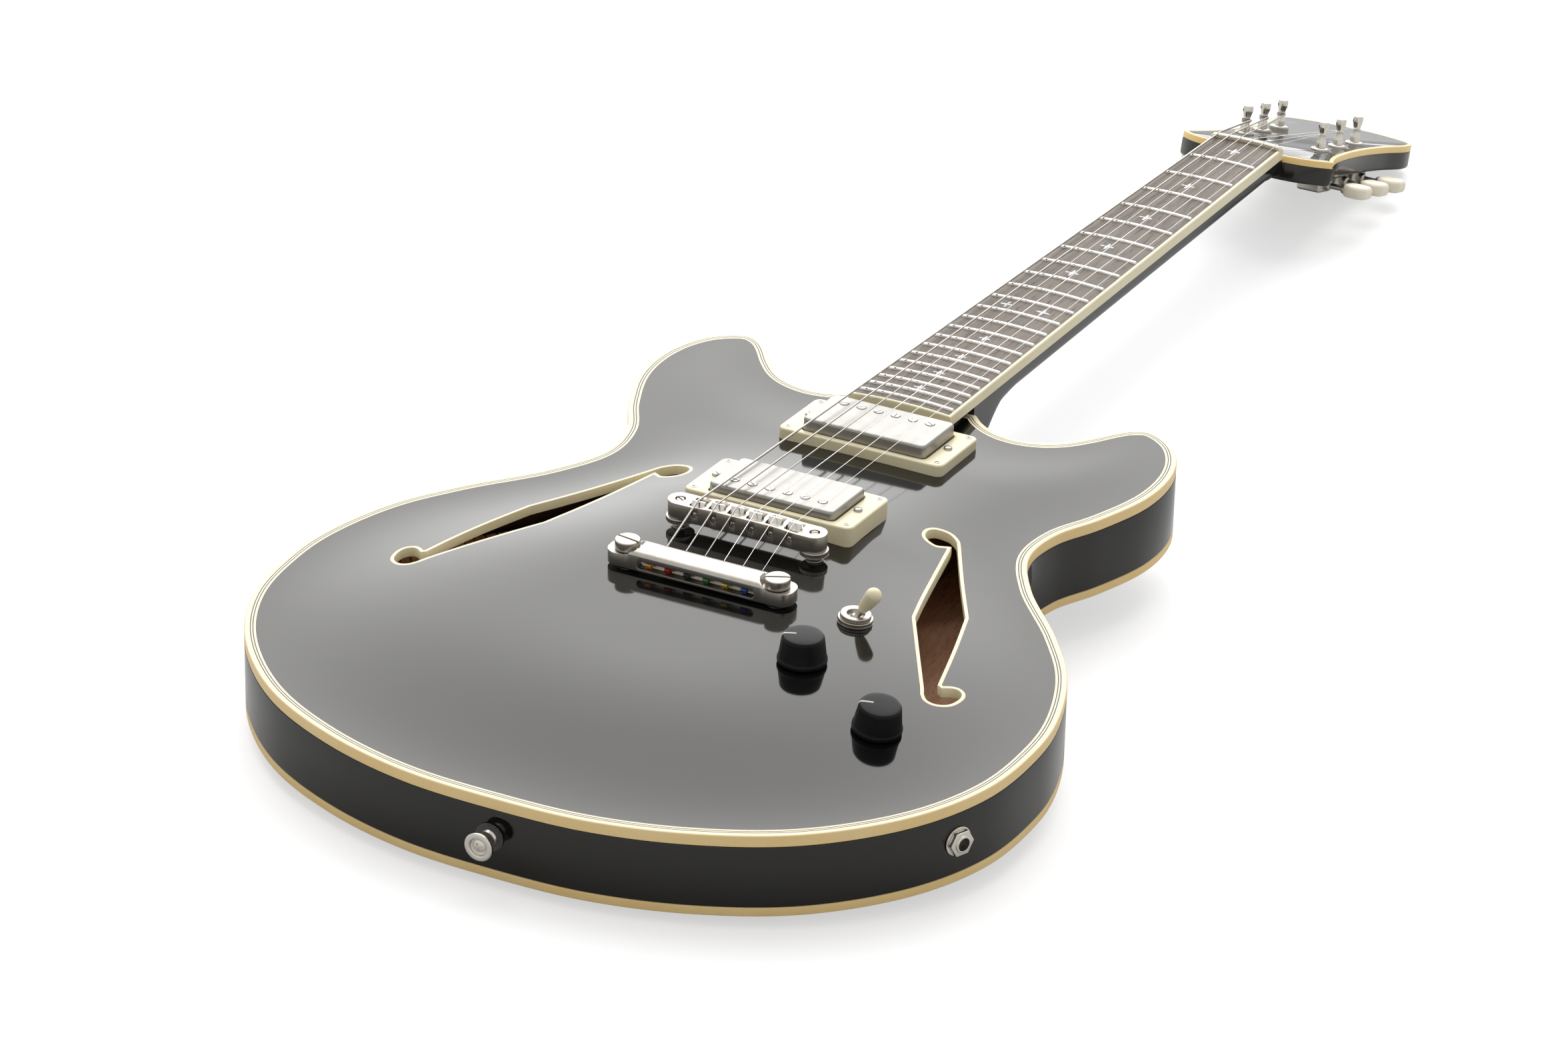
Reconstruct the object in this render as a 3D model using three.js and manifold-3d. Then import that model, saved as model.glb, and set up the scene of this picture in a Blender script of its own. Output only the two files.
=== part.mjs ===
// Semi-hollow electric guitar, right-handed, lying on its back.
// Millimetres. +X is the treble side, +Y runs along the neck to the headstock, +Z is up.
// Every piece is built in the body's own frame: z = 0 is the plane where the top meets its
// binding, and y = 0 lies under the point where the strings leave the bridge.
// The finished guitar is then laid down so that it rests as it would on a table.

import * as THREE from 'three';
import { mergeVertices } from 'three/addons/utils/BufferGeometryUtils.js';
import Module from 'manifold-3d';

const wasm = await Module();
wasm.setup();

// Shared values
const gap = 0.3;
const weldTolerance = 0.002;
const cutOverrun = 2;
const sharpestBendShare = 0.3;
const foldShare = 0.04;
const degree = Math.PI / 180;
const quarterTurn = Math.PI / 2;
const sides = [{ name: 'bass', sign: -1 }, { name: 'treble', sign: 1 }];
const stringNumbers = [1, 2, 3, 4, 5, 6];

// Body sizes
const body = {
  width: 405.4,
  length: 488,
  bridgeToHorns: 225,
  depth: 43,
  topThickness: 5,
  backThickness: 4.6,
  topArch: 12.6,
  topArchRun: 105,
  topFallShare: 0.58,
  topFallFrom: 30,
  topFallRun: 95,
  backArch: 11,
  backArchRun: 80,
  wall: 3.5,
  liningWidth: 13,
  liningHeight: 8,
  outlineStep: 38,
  blockWidth: 112,
};

// Half outline from the tail to the neck: shares of the half width and of the body length
const outlineShares = [
  [0.14, 0], [0.3, 0.0095], [0.477, 0.032], [0.7, 0.081], [0.883, 0.16], [0.977, 0.243],
  [1, 0.328], [0.987, 0.389], [0.921, 0.473], [0.814, 0.543], [0.661, 0.622], [0.589, 0.684],
  [0.599, 0.738], [0.662, 0.792], [0.716, 0.857], [0.723, 0.91], [0.697, 0.953], [0.646, 0.984],
  [0.572, 1], [0.525, 0.992], [0.493, 0.978], [0.453, 0.955], [0.405, 0.933], [0.359, 0.921],
  [0.304, 0.915], [0.257, 0.916], [0.215, 0.922], [0.178, 0.932], [0.148, 0.945],
];
const plateRingShares = [0.42, 0.68, 0.86, 1];
const backRingShares = [0.5, 0.8, 1];
const gridCentreShare = 0.59;

// Binding sizes
const binding = {
  topWidth: 5.8,
  topHeight: 6.1,
  backWidth: 3.2,
  backHeight: 4.9,
  fHoleWidth: 2.4,
  headWidth: 2.4,
  headHeight: 4,
  boardWidth: 1.6,
};

// F-hole on the treble side: its middle and reach as shares of the body's half width and length
const fHole = {
  xShare: 0.5427,
  yShare: -0.0287,
  halfWidthShare: 0.2195,
  halfLengthShare: 0.1711,
  roundPoints: 6,
  sidePoints: 2,
};
// Each stretch of the f-hole's edge: shares of the half width and half length, from its middle
const fHoleShares = {
  upperRound: [[-0.618, 0.814], [-0.742, 0.766], [-0.876, 0.778], [-0.978, 0.85], [-0.955, 0.946],
    [-0.8, 1], [-0.6, 0.994], [-0.472, 0.934]],
  outerUpper: [[-0.27, 0.814], [-0.112, 0.635], [0.054, 0.443], [0.281, 0.09]],
  outerLower: [[0.427, -0.168], [0.551, -0.395], [0.697, -0.754]],
  lowerRound: [[0.798, -0.713], [0.93, -0.73], [1, -0.84], [0.955, -0.946], [0.787, -1],
    [0.629, -0.976], [0.517, -0.904]],
  innerLower: [[0.404, -0.838], [0.247, -0.671], [0.09, -0.491], [-0.067, -0.323], [-0.258, -0.132]],
  innerUpper: [[-0.393, 0.18], [-0.472, 0.431], [-0.562, 0.683]],
};

// Strings and neck line
const scale = {
  length: 628.65,
  neckAngle: 4.4 * degree,
  crownAtBridge: 26.4,
  riseAtNut: 1.9,
  riseAtBridge: 4.1,
  spacingAtBridge: 10.4,
  spacingAtNut: 7.2,
  boardRadius: 305,
  wireSides: 6,
};
const stringDiameters = [1.17, 0.91, 0.66, 0.43, 0.33, 0.25];

// Fretboard sizes
const board = {
  frets: 22,
  widthAtNut: 43.1,
  widthAtEnd: 58.3,
  thickness: 5.6,
  endFromBridge: 168.5,
  fretWidth: 2.6,
  fretHeight: 1.1,
  crownSteps: 4,
};

// Neck sizes
const neck = {
  depthAtNut: 15,
  depthAtBody: 18,
  heelDepth: 42,
  heelLength: 40,
  heelFoot: 17,
  heelSweep: 9,
  tongueInset: 2,
  tongueDepth: 8,
  tenonWidth: 38,
  tenonWall: 3.7,
  tenonBottom: 34,
  voluteRise: 4,
  voluteLength: 26,
  sectionPoints: 8,
  fullnessShare: 0.8,
  heelFullnessShare: 0.45,
};

// Headstock sizes
const head = {
  tilt: 13.5 * degree,
  length: 182,
  halfWidth: 47,
  thickness: 14.5,
  faceDrop: 5.4,
  faceThickness: 1.5,
  shoulderKnots: 4,
  shoulderPoints: 3,
  edgePoints: 11,
};
// Half outline from the nut to the tip: shares of the half width and of the length
const headShares = [
  [0.468, 0], [0.66, 0.012], [0.86, 0.045], [1, 0.085], [0.94, 0.13], [0.84, 0.24], [0.775, 0.4],
  [0.765, 0.56], [0.82, 0.72], [0.92, 0.85], [0.86, 0.925], [0.62, 0.965], [0.36, 0.99], [0.16, 1],
];

// Truss rod cover on the headstock; half outline from the nut: shares of half width and length
const cover = { length: 36, width: 23, thickness: 1.8, fromNut: 3, bevel: 0.5 };
const coverShares = [[1, 0], [1, 0.3], [0.75, 0.5], [0.42, 0.72], [0.25, 0.92], [0, 1]];

// Nut sizes
const nut = { length: 5, rise: 0.4 };

// Tuner sizes
const tuner = {
  rowShares: [0.3, 0.46, 0.62],
  fromMiddle: 24,
  postDiameter: 6,
  postHeight: 17,
  bushingDiameter: 11.6,
  bushingHeight: 1.8,
  stringHeight: 8,
  wrap: 0.8,
  wrapHeight: 4,
  housingLength: 19,
  housingWidth: 15,
  housingHeight: 9,
  housingWall: 2,
  shaftDiameter: 3.4,
  collarDiameter: 6.5,
  collarLength: 3,
  buttonFrom: 43.5,
  buttonLength: 15,
  buttonWidth: 18,
  buttonThickness: 7.5,
  buttonCorner: 6,
  buttonRound: 2,
  roundSides: 8,
  shaftSides: 6,
};

// Pickup sizes
const pickup = {
  coverLength: 69.5,
  coverWidth: 37.5,
  coverHeight: 15,
  coverWall: 0.8,
  coverCorner: 3,
  coverRound: 1.6,
  ringLength: 93,
  ringWidth: 46,
  ringCorner: 4,
  ringBevel: 1,
  ringReach: 26,
  ringOpeningGap: 0.7,
  screwInset: 4,
  screwDiameter: 2.4,
  screwHead: 4.6,
  screwHeadRise: 0.6,
  screwLength: 22,
  cornerInset: 4.2,
  cornerHead: 3,
  cornerHeadRise: 0.3,
  earMargin: 2.6,
  earWidth: 12,
  baseHeight: 1.6,
  routeGap: 1.2,
  routeDepth: 30,
  poleDiameter: 4.8,
  poleSpacing: 9.75,
  poleOffset: 9.5,
  poleRise: 0.4,
  roundSides: 6,
};
const pickups = [
  { name: 'neck', fromBridge: 143.5, ringBelowCrown: 8, rise: 6.7, poleSide: 1 },
  { name: 'bridge', fromBridge: 39.1, ringBelowCrown: 3.3, rise: 4.5, poleSide: -1 },
];

// Bridge sizes; each saddle's compensation is counted from the bridge's middle line
const bridge = {
  postSpacing: 74,
  behindScaleEnd: 4.2,
  length: 86.6,
  width: 12.8,
  top: 27.5,
  height: 10,
  crown: 0.9,
  wall: 1.5,
  floor: 2,
  saddleLength: 5,
  saddleWidth: 7.4,
  saddleHeight: 7,
  ridgeLength: 1,
  notchDepth: 0.5,
  screwDiameter: 1.6,
  screwHead: 3.4,
  screwHeadLength: 0.9,
  postDiameter: 4,
  wheelDiameter: 14.4,
  wheelHeight: 3.8,
  bushingDiameter: 9.6,
  bushingLip: 1,
  bushingRise: 0.8,
  bushingDepth: 22,
  endSteps: 2,
  roundSides: 12,
  screwSides: 6,
  compensation: [-1.2, -0.4, 0.4, -0.6, 0.2, 0.9],
};

// Tailpiece sizes
const tail = {
  fromBridge: 52.1,
  studSpacing: 82,
  length: 101,
  width: 16,
  endRound: 7.5,
  endSteps: 3,
  earThickness: 6.8,
  earLift: 1.8,
  humpRise: 4.2,
  humpSteps: 6,
  headRoom: 0.9,
  scoopSides: 10,
  slotHeight: 4.4,
  slotDepth: 4.6,
  slotMargin: 12,
  bore: 2.2,
  boreSides: 6,
  studHead: 12.7,
  studHeadHeight: 5,
  studNeck: 7.6,
  studSlot: 1.4,
  bassSlotTurn: 10 * degree,
  trebleSlotTurn: 62 * degree,
  bushingDiameter: 10.8,
  bushingDepth: 24,
  ballDiameter: 3.6,
  ballLength: 3,
};

// Control sizes
const control = {
  knobBase: 24.4,
  knobTop: 20.3,
  knobHeight: 14.2,
  knobSkirt: 2,
  knobCrown: 1.2,
  knobRoom: 0.8,
  liftShare: 0.4,
  knobSides: 16,
  shaftDiameter: 6,
  sleeveDiameter: 8.8,
  nutDiameter: 12,
  nutHeight: 2,
  canDiameter: 24,
  canHeight: 9,
  canWall: 2,
  canGap: 1.8,
  roundSides: 10,
};
// Each knob's place: a distance from the middle line and a share of the way to the tail
const knobPlaces = [
  { name: 'volume', x: 77.8, yShare: 0.3753 },
  { name: 'tone', x: 133.2, yShare: 0.4981 },
];

// Toggle switch sizes
const toggle = {
  x: 81.6,
  yShare: 0.1878,
  lean: 28 * degree,
  sleeveDiameter: 11.6,
  wheelDiameter: 17.4,
  wheelHeight: 2.4,
  capDiameter: 15.4,
  capHeight: 2,
  pivotDiameter: 5.2,
  pivotDepth: 3,
  leverDiameter: 3.6,
  leverLength: 21,
  tipDiameter: 8.2,
  tipLength: 15,
  boxWidth: 17,
  boxLength: 30,
  boxHeight: 15,
  roundSides: 8,
};

// Output jack sizes
const jack = {
  yShare: 0.6198,
  below: 20.5,
  washerDiameter: 19,
  washerHeight: 1,
  hexAcross: 15.6,
  hexHeight: 2.6,
  hexSides: 6,
  sleeveDiameter: 9.4,
  sleeveRise: 1,
  mouth: 6.6,
  mouthDepth: 18,
  barrelDiameter: 14,
  barrelLength: 20,
  barrelGap: 1.2,
  roundSides: 10,
};

// Strap button sizes
const strap = {
  flange: 14.6,
  flangeHeight: 2.2,
  waist: 7.4,
  felt: 14,
  feltHeight: 1.6,
  height: 12,
  recess: 5.6,
  recessDepth: 1.6,
  below: 20.5,
  roundSides: 10,
};

// Finishes
function paint(colour, roughness, metalness) {
  return () => new THREE.MeshStandardMaterial({ color: colour, roughness, metalness });
}
const finish = {
  black: paint(0x0b0b0c, 0.12, 0),
  paleWood: paint(0x9a6f45, 0.75, 0),
  cream: paint(0xf0deb0, 0.4, 0),
  rosewood: paint(0x4b3a30, 0.6, 0),
  nickel: paint(0xd8d4cc, 0.22, 1),
  satinNickel: paint(0xa8a49a, 0.38, 1),
  steel: paint(0xc8c8c8, 0.3, 1),
  brassWire: paint(0xcdc6bb, 0.35, 1),
  blackPlastic: paint(0x15171a, 0.45, 0),
  coil: paint(0x1c1a18, 0.6, 0.1),
};

// Volume inside a skin, less than zero where it is inside out
function signedVolume(points, triangles) {
  const corner = (i) => new THREE.Vector3().fromBufferAttribute(points, triangles[i]);
  let volume = 0;
  for (let i = 0; i < triangles.length; i += 3) {
    volume += corner(i).dot(corner(i + 1).cross(corner(i + 2))) / 6;
  }
  return volume;
}

// Geometry to solid: only positions are kept, and triangles that closed up are dropped
function toSolid(geometry) {
  const plain = new THREE.BufferGeometry();
  plain.setAttribute('position', geometry.getAttribute('position').clone());
  if (geometry.index) plain.setIndex(geometry.index.clone());
  const merged = mergeVertices(plain, weldTolerance);
  const source = merged.index.array;
  const triangles = [];
  for (let i = 0; i < source.length; i += 3) {
    const [a, b, c] = [source[i], source[i + 1], source[i + 2]];
    if (a !== b && b !== c && a !== c) triangles.push(a, b, c);
  }
  if (signedVolume(merged.getAttribute('position'), triangles) < 0) triangles.reverse();
  return new wasm.Manifold(new wasm.Mesh({
    numProp: 3,
    vertProperties: new Float32Array(merged.getAttribute('position').array),
    triVerts: new Uint32Array(triangles),
  }));
}

// Solid to a named mesh with its own material
function toMesh(name, solid, makeMaterial) {
  const data = solid.getMesh();
  const geometry = new THREE.BufferGeometry();
  geometry.setAttribute('position', new THREE.BufferAttribute(new Float32Array(data.vertProperties), 3));
  geometry.setIndex(new THREE.BufferAttribute(new Uint32Array(data.triVerts), 1));
  geometry.computeVertexNormals();
  const mesh = new THREE.Mesh(geometry, makeMaterial());
  mesh.name = name;
  return mesh;
}

// Joins and cuts over lists
function joinAll(solids) {
  return solids.reduce((sum, solid) => sum.add(solid));
}
function cutAll(solid, cutters) {
  return cutters.reduce((rest, cutter) => rest.subtract(cutter), solid);
}

// A flat loop of points, extruded from z0 to z1, moved by an optional matrix
function prism(loop, z0, z1, matrix) {
  const shape = new THREE.Shape(loop.map(([x, y]) => new THREE.Vector2(x, y)));
  const geometry = new THREE.ExtrudeGeometry(shape, { depth: z1 - z0, bevelEnabled: false, steps: 1 });
  geometry.translate(0, 0, z0);
  if (matrix) geometry.applyMatrix4(matrix);
  return toSolid(geometry);
}

// The same with its edges rounded by a bevel inside the loop
function roundedPrism(loop, z0, z1, round, matrix, bevelSteps = 1) {
  const shape = new THREE.Shape(loop.map(([x, y]) => new THREE.Vector2(x, y)));
  const geometry = new THREE.ExtrudeGeometry(shape, {
    depth: z1 - z0 - 2 * round,
    bevelEnabled: true,
    bevelThickness: round,
    bevelSize: round,
    bevelOffset: -round,
    bevelSegments: bevelSteps,
    steps: 1,
  });
  geometry.translate(0, 0, z0 + round);
  if (matrix) geometry.applyMatrix4(matrix);
  return toSolid(geometry);
}

// A box from its middle and size
function box(centre, size, matrix) {
  const geometry = new THREE.BoxGeometry(...size);
  geometry.translate(...centre);
  if (matrix) geometry.applyMatrix4(matrix);
  return toSolid(geometry);
}

// A turned piece about +Z: profile points are [radius, z], from the axis and back to it
function turned(profile, roundSides, matrix) {
  const points = profile.map(([radius, z]) => new THREE.Vector2(radius, z));
  const geometry = new THREE.LatheGeometry(points, roundSides);
  geometry.rotateX(quarterTurn);
  if (matrix) geometry.applyMatrix4(matrix);
  return toSolid(geometry);
}
function rod(diameter, z0, z1, roundSides, matrix) {
  const radius = diameter / 2;
  return turned([[0, z0], [radius, z0], [radius, z1], [0, z1]], roundSides, matrix);
}

// A skin through rings of points with a flat cap at each end
function loft(rings) {
  const count = rings[0].length;
  const positions = rings.flat().flatMap((p) => [p.x, p.y, p.z]);
  const triangles = [];
  for (let r = 0; r < rings.length - 1; r++) {
    for (let i = 0; i < count; i++) {
      const j = (i + 1) % count;
      const [a, b, c, d] = [r * count + i, r * count + j, (r + 1) * count + j, (r + 1) * count + i];
      triangles.push(a, b, c, a, c, d);
    }
  }
  for (const [ring, turn] of [[0, -1], [rings.length - 1, 1]]) {
    const flat = THREE.ShapeUtils.triangulateShape(flatten(rings[ring]), []);
    for (const [a, b, c] of flat) {
      const base = ring * count;
      if (turn > 0) triangles.push(base + a, base + b, base + c);
      else triangles.push(base + a, base + c, base + b);
    }
  }
  const geometry = new THREE.BufferGeometry();
  geometry.setAttribute('position', new THREE.Float32BufferAttribute(positions, 3));
  geometry.setIndex(triangles);
  return toSolid(geometry);
}
// A ring of points seen along its own normal
function flatten(ring) {
  const normal = new THREE.Vector3();
  for (let i = 0; i < ring.length; i++) {
    const [a, b] = [ring[i], ring[(i + 1) % ring.length]];
    normal.add(new THREE.Vector3().crossVectors(a, b));
  }
  normal.normalize();
  const across = new THREE.Vector3().subVectors(ring[1], ring[0]).normalize();
  const up = new THREE.Vector3().crossVectors(normal, across);
  return ring.map((p) => new THREE.Vector2(p.dot(across), p.dot(up)));
}

// A wire through points, with a ring square to the bend at each point
function wire(points, diameter, wireSides) {
  const rings = points.map((point, i) => {
    const before = points[Math.max(i - 1, 0)];
    const after = points[Math.min(i + 1, points.length - 1)];
    const along = new THREE.Vector3().subVectors(after, before).normalize();
    const across = new THREE.Vector3(1, 0, 0).addScaledVector(along, -along.x).normalize();
    const up = new THREE.Vector3().crossVectors(across, along);
    return Array.from({ length: wireSides }, (_, k) => {
      const angle = (2 * Math.PI * k) / wireSides;
      return point.clone()
        .addScaledVector(across, (Math.cos(angle) * diameter) / 2)
        .addScaledVector(up, (-Math.sin(angle) * diameter) / 2);
    });
  });
  return loft(rings);
}

// Loops: rounded rectangles, mirrored loops and loops moved inward
function roundedRectangle(width, height, radius, cornerSteps = 2) {
  const loop = [];
  const corners = [[1, -1, -1], [1, 1, 0], [-1, 1, 1], [-1, -1, 2]];
  for (const [sx, sy, turn] of corners) {
    for (let k = 0; k <= cornerSteps; k++) {
      const angle = (turn + k / cornerSteps) * quarterTurn;
      loop.push([
        sx * (width / 2 - radius) + radius * Math.cos(angle),
        sy * (height / 2 - radius) + radius * Math.sin(angle),
      ]);
    }
  }
  return loop;
}
function mirrored(loop) {
  return loop.map(([x, y]) => [-x, y]).reverse();
}
function shifted(loop, dx, dy) {
  return loop.map(([x, y]) => [x + dx, y + dy]);
}
function distanceToLoop([x, y], loop) {
  let best = Infinity;
  for (let i = 0; i < loop.length; i++) {
    const [ax, ay] = loop[i];
    const [bx, by] = loop[(i + 1) % loop.length];
    const [ux, uy] = [bx - ax, by - ay];
    const share = THREE.MathUtils.clamp(((x - ax) * ux + (y - ay) * uy) / (ux * ux + uy * uy), 0, 1);
    best = Math.min(best, Math.hypot(x - ax - share * ux, y - ay - share * uy));
  }
  return best;
}
// Moves a counter-clockwise loop inward, and drops the points that a tight bend folds over
function inset(loop, distance) {
  const count = loop.length;
  const moved = [];
  for (let i = 0; i < count; i++) {
    const before = loop[(i + count - 1) % count];
    const here = loop[i];
    const after = loop[(i + 1) % count];
    const first = new THREE.Vector2(here[0] - before[0], here[1] - before[1]).normalize();
    const second = new THREE.Vector2(after[0] - here[0], after[1] - here[1]).normalize();
    const normal = new THREE.Vector2(-first.y - second.y, first.x + second.x).normalize();
    const bend = Math.max(Math.sqrt((1 + first.dot(second)) / 2), sharpestBendShare);
    const stretch = distance / bend;
    moved.push([here[0] + normal.x * stretch, here[1] + normal.y * stretch]);
  }
  const slack = Math.abs(distance) * foldShare;
  return moved.filter((point) => distanceToLoop(point, loop) > Math.abs(distance) - slack);
}

// The body's outline, counter-clockwise, smooth from neck to neck, and straight across the neck
// and between the two points nearest the tail's middle, where the back rests
const tailY = body.bridgeToHorns - body.length;
const towardTail = (share) => tailY * share;
const knobs = knobPlaces.map(({ name, x, yShare }) => ({ name, x, y: towardTail(yShare) }));
const togglePlace = { x: toggle.x, y: towardTail(toggle.yShare) };
function makeOutline() {
  const half = outlineShares.map(([sx, sy]) => [sx * (body.width / 2), tailY + sy * body.length]);
  const knots = [...mirrored(half), ...half];
  const curve = new THREE.CatmullRomCurve3(
    knots.map(([x, y]) => new THREE.Vector3(x, y, 0)), false, 'centripetal');
  const loop = [];
  for (let i = 0; i < knots.length - 1; i++) {
    const run = Math.hypot(knots[i + 1][0] - knots[i][0], knots[i + 1][1] - knots[i][1]);
    const steps = i === half.length - 1 ? 1 : Math.max(1, Math.round(run / body.outlineStep));
    for (let k = 0; k < steps; k++) {
      const point = curve.getPoint((i + k / steps) / (knots.length - 1));
      loop.push([point.x, point.y]);
    }
  }
  loop.push(knots[knots.length - 1]);
  return loop;
}
const outline = makeOutline();
const neckJointY = outline[0][1];

// Smooth distance from the edge: near an edge it is the true distance, and it has no creases
const edgeSamples = [];
for (let i = 0; i < outline.length; i++) {
  const [ax, ay] = outline[i];
  const [bx, by] = outline[(i + 1) % outline.length];
  const run = Math.hypot(bx - ax, by - ay);
  const steps = Math.ceil(run / binding.topWidth * 2);
  for (let k = 0; k < steps; k++) {
    const share = (k + 0.5) / steps;
    edgeSamples.push([ax + (bx - ax) * share, ay + (by - ay) * share, run / steps]);
  }
}
function edgeDistance(x, y) {
  let sum = 0;
  for (const [sx, sy, run] of edgeSamples) {
    const square = (x - sx) ** 2 + (y - sy) ** 2;
    sum += run / (square * square);
  }
  return ((2 / Math.PI) * sum) ** (-1 / 3);
}
function arch(x, y, height, run, start) {
  const share = THREE.MathUtils.clamp((edgeDistance(x, y) - start) / run, 0, 1);
  return (height * (1 - Math.cos(Math.PI * share))) / 2;
}
// The top falls away toward the neck
const topFall = (y) => body.topFallShare
  * THREE.MathUtils.smoothstep(y, body.topFallFrom, body.topFallFrom + body.topFallRun);
const topAt = (x, y) => (1 - topFall(y))
  * arch(x, y, body.topArch, body.topArchRun, binding.topWidth + gap);
const backAt = (x, y) => -body.depth - arch(x, y, body.backArch, body.backArchRun, binding.backWidth + gap);

// A plate or block over a loop whose faces follow two height functions
function domed(loop, upper, lower, ringShares = plateRingShares) {
  const count = loop.length;
  const centre = [0, tailY + gridCentreShare * body.length];
  const positions = [];
  for (const height of [upper, lower]) {
    positions.push(...centre, height(...centre));
    for (const share of ringShares) {
      for (const [x, y] of loop) {
        const px = centre[0] + (x - centre[0]) * share;
        const py = centre[1] + (y - centre[1]) * share;
        positions.push(px, py, height(px, py));
      }
    }
  }
  const faceSize = 1 + ringShares.length * count;
  const at = (ring, i) => 1 + ring * count + (i % count);
  const triangles = [];
  for (const [base, flip] of [[0, false], [faceSize, true]]) {
    const add = (a, b, c) => triangles.push(base + a, base + (flip ? c : b), base + (flip ? b : c));
    for (let i = 0; i < count; i++) {
      add(0, at(0, i), at(0, i + 1));
      for (let ring = 0; ring < ringShares.length - 1; ring++) {
        add(at(ring, i), at(ring + 1, i), at(ring + 1, i + 1));
        add(at(ring, i), at(ring + 1, i + 1), at(ring, i + 1));
      }
    }
  }
  const rim = ringShares.length - 1;
  for (let i = 0; i < count; i++) {
    const [a, b] = [at(rim, i), at(rim, i + 1)];
    triangles.push(a, faceSize + a, faceSize + b, a, faceSize + b, b);
  }
  const geometry = new THREE.BufferGeometry();
  geometry.setAttribute('position', new THREE.Float32BufferAttribute(positions, 3));
  geometry.setIndex(triangles);
  return toSolid(geometry);
}

// The neck line: heights on the crown plane, and a frame that follows it
const crownSlope = Math.tan(scale.neckAngle);
const crownAt = (y) => scale.crownAtBridge - y * crownSlope;
const nutY = scale.length * Math.cos(scale.neckAngle);
function neckFrame(y, below = 0) {
  const matrix = new THREE.Matrix4().makeRotationX(-scale.neckAngle);
  matrix.setPosition(0, y, crownAt(y) - below);
  return matrix;
}
// Board width at a distance from the bridge, along the crown plane and level
const boardWidthAlong = (along) => board.widthAtNut
  + ((board.widthAtEnd - board.widthAtNut) * (scale.length - along)) / (scale.length - board.endFromBridge);
const boardWidthAt = (y) => boardWidthAlong(y / Math.cos(scale.neckAngle));
const crownDrop = (x) => (x * x) / (2 * scale.boardRadius);

// Frames and views
const moved = (x, y, z) => new THREE.Matrix4().makeTranslation(x, y, z);
const [xAxis, yAxis, zAxis] = [[1, 0, 0], [0, 1, 0], [0, 0, 1]].map((v) => new THREE.Vector3(...v));
// A loop drawn as seen from the side, in y and z, and extruded along x
const sideView = new THREE.Matrix4().makeBasis(yAxis, zAxis, xAxis);
// A loop drawn as seen from the tail, in x and z, and extruded toward the tail
const tailView = new THREE.Matrix4().makeBasis(xAxis, zAxis, yAxis.clone().negate());
const onCrown = neckFrame(0);
// A frame that stands square on the arched top
function seatFrame(x, y) {
  const slopeX = (topAt(x + gap, y) - topAt(x - gap, y)) / (2 * gap);
  const slopeY = (topAt(x, y + gap) - topAt(x, y - gap)) / (2 * gap);
  const normal = new THREE.Vector3(-slopeX, -slopeY, 1).normalize();
  const across = new THREE.Vector3().crossVectors(yAxis, normal).normalize();
  const along = new THREE.Vector3().crossVectors(normal, across);
  return new THREE.Matrix4().makeBasis(across, along, normal).setPosition(x, y, topAt(x, y));
}

// The f-hole's edge: two round ends and four nearly straight sides that meet at corners
function curveThrough(points, steps) {
  const curve = new THREE.CatmullRomCurve3(points.map(([x, y]) => new THREE.Vector3(x, y, 0)));
  return curve.getPoints(steps).map((p) => [p.x, p.y]);
}
function fHoleLoop() {
  const halfBody = body.width / 2;
  const place = ([sx, sy]) => [
    halfBody * (fHole.xShare + sx * fHole.halfWidthShare),
    body.length * (fHole.yShare + sy * fHole.halfLengthShare),
  ];
  const rounds = [fHoleShares.upperRound, fHoleShares.lowerRound];
  const stretches = [
    fHoleShares.upperRound, fHoleShares.outerUpper, fHoleShares.outerLower,
    fHoleShares.lowerRound, fHoleShares.innerLower, fHoleShares.innerUpper,
  ];
  const loop = stretches.flatMap((shares) => {
    const steps = rounds.includes(shares) ? fHole.roundPoints : fHole.sidePoints;
    return curveThrough(shares.map(place), steps);
  });
  return loop.reverse();
}
const fLoops = { treble: fHoleLoop(), bass: mirrored(fHoleLoop()) };

// Loops that the body's pieces share
const plateEdge = binding.topWidth + gap;
const rimTop = -binding.topHeight - gap;
const rimBottom = -body.depth + binding.backHeight + gap;
const topLoop = inset(outline, plateEdge);
const backLoop = inset(outline, binding.backWidth + gap);
// The space that the body fills, as far as a piece that stands on it has to keep clear
const topSurface = domed(topLoop, (x, y) => topAt(x, y) + gap, () => -body.depth)
  .add(prism(inset(outline, -cutOverrun), -body.depth, gap));
const plateReach = body.topArch + cutOverrun;

// Openings and holes in the top
const screwX = pickup.coverLength / 2 + pickup.ringOpeningGap + pickup.screwInset;
const baseLength = 2 * (screwX + pickup.earMargin);
const routeLength = baseLength + 2 * pickup.routeGap;
const routeWidth = pickup.coverWidth + 2 * pickup.routeGap;
const routeCuts = pickups.map(({ fromBridge }) => prism(
  shifted(roundedRectangle(routeLength, routeWidth, pickup.coverCorner, 1), 0, fromBridge),
  -pickup.routeDepth, plateReach));
const postPlaces = sides.map(({ name, sign }) => (
  { name, x: (sign * bridge.postSpacing) / 2, y: -bridge.behindScaleEnd }));
const studPlaces = sides.map(({ name, sign }) => (
  { name, x: (sign * tail.studSpacing) / 2, y: -tail.fromBridge }));
const boreAt = ({ x, y }, diameter, depth) => rod(
  diameter + 2 * gap, -depth - gap, plateReach, bridge.roundSides, moved(x, y, 0));
const fittingCuts = [
  ...postPlaces.map((place) => boreAt(place, bridge.bushingDiameter, bridge.bushingDepth)),
  ...studPlaces.map((place) => boreAt(place, tail.bushingDiameter, tail.bushingDepth)),
];
const controlBore = ({ x, y }, diameter) => rod(
  diameter + 2 * gap, -2 * body.topThickness, body.topThickness, control.roundSides, seatFrame(x, y));
const controlCuts = [
  ...knobs.map((place) => controlBore(place, control.sleeveDiameter)),
  controlBore(togglePlace, toggle.sleeveDiameter),
];

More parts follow.
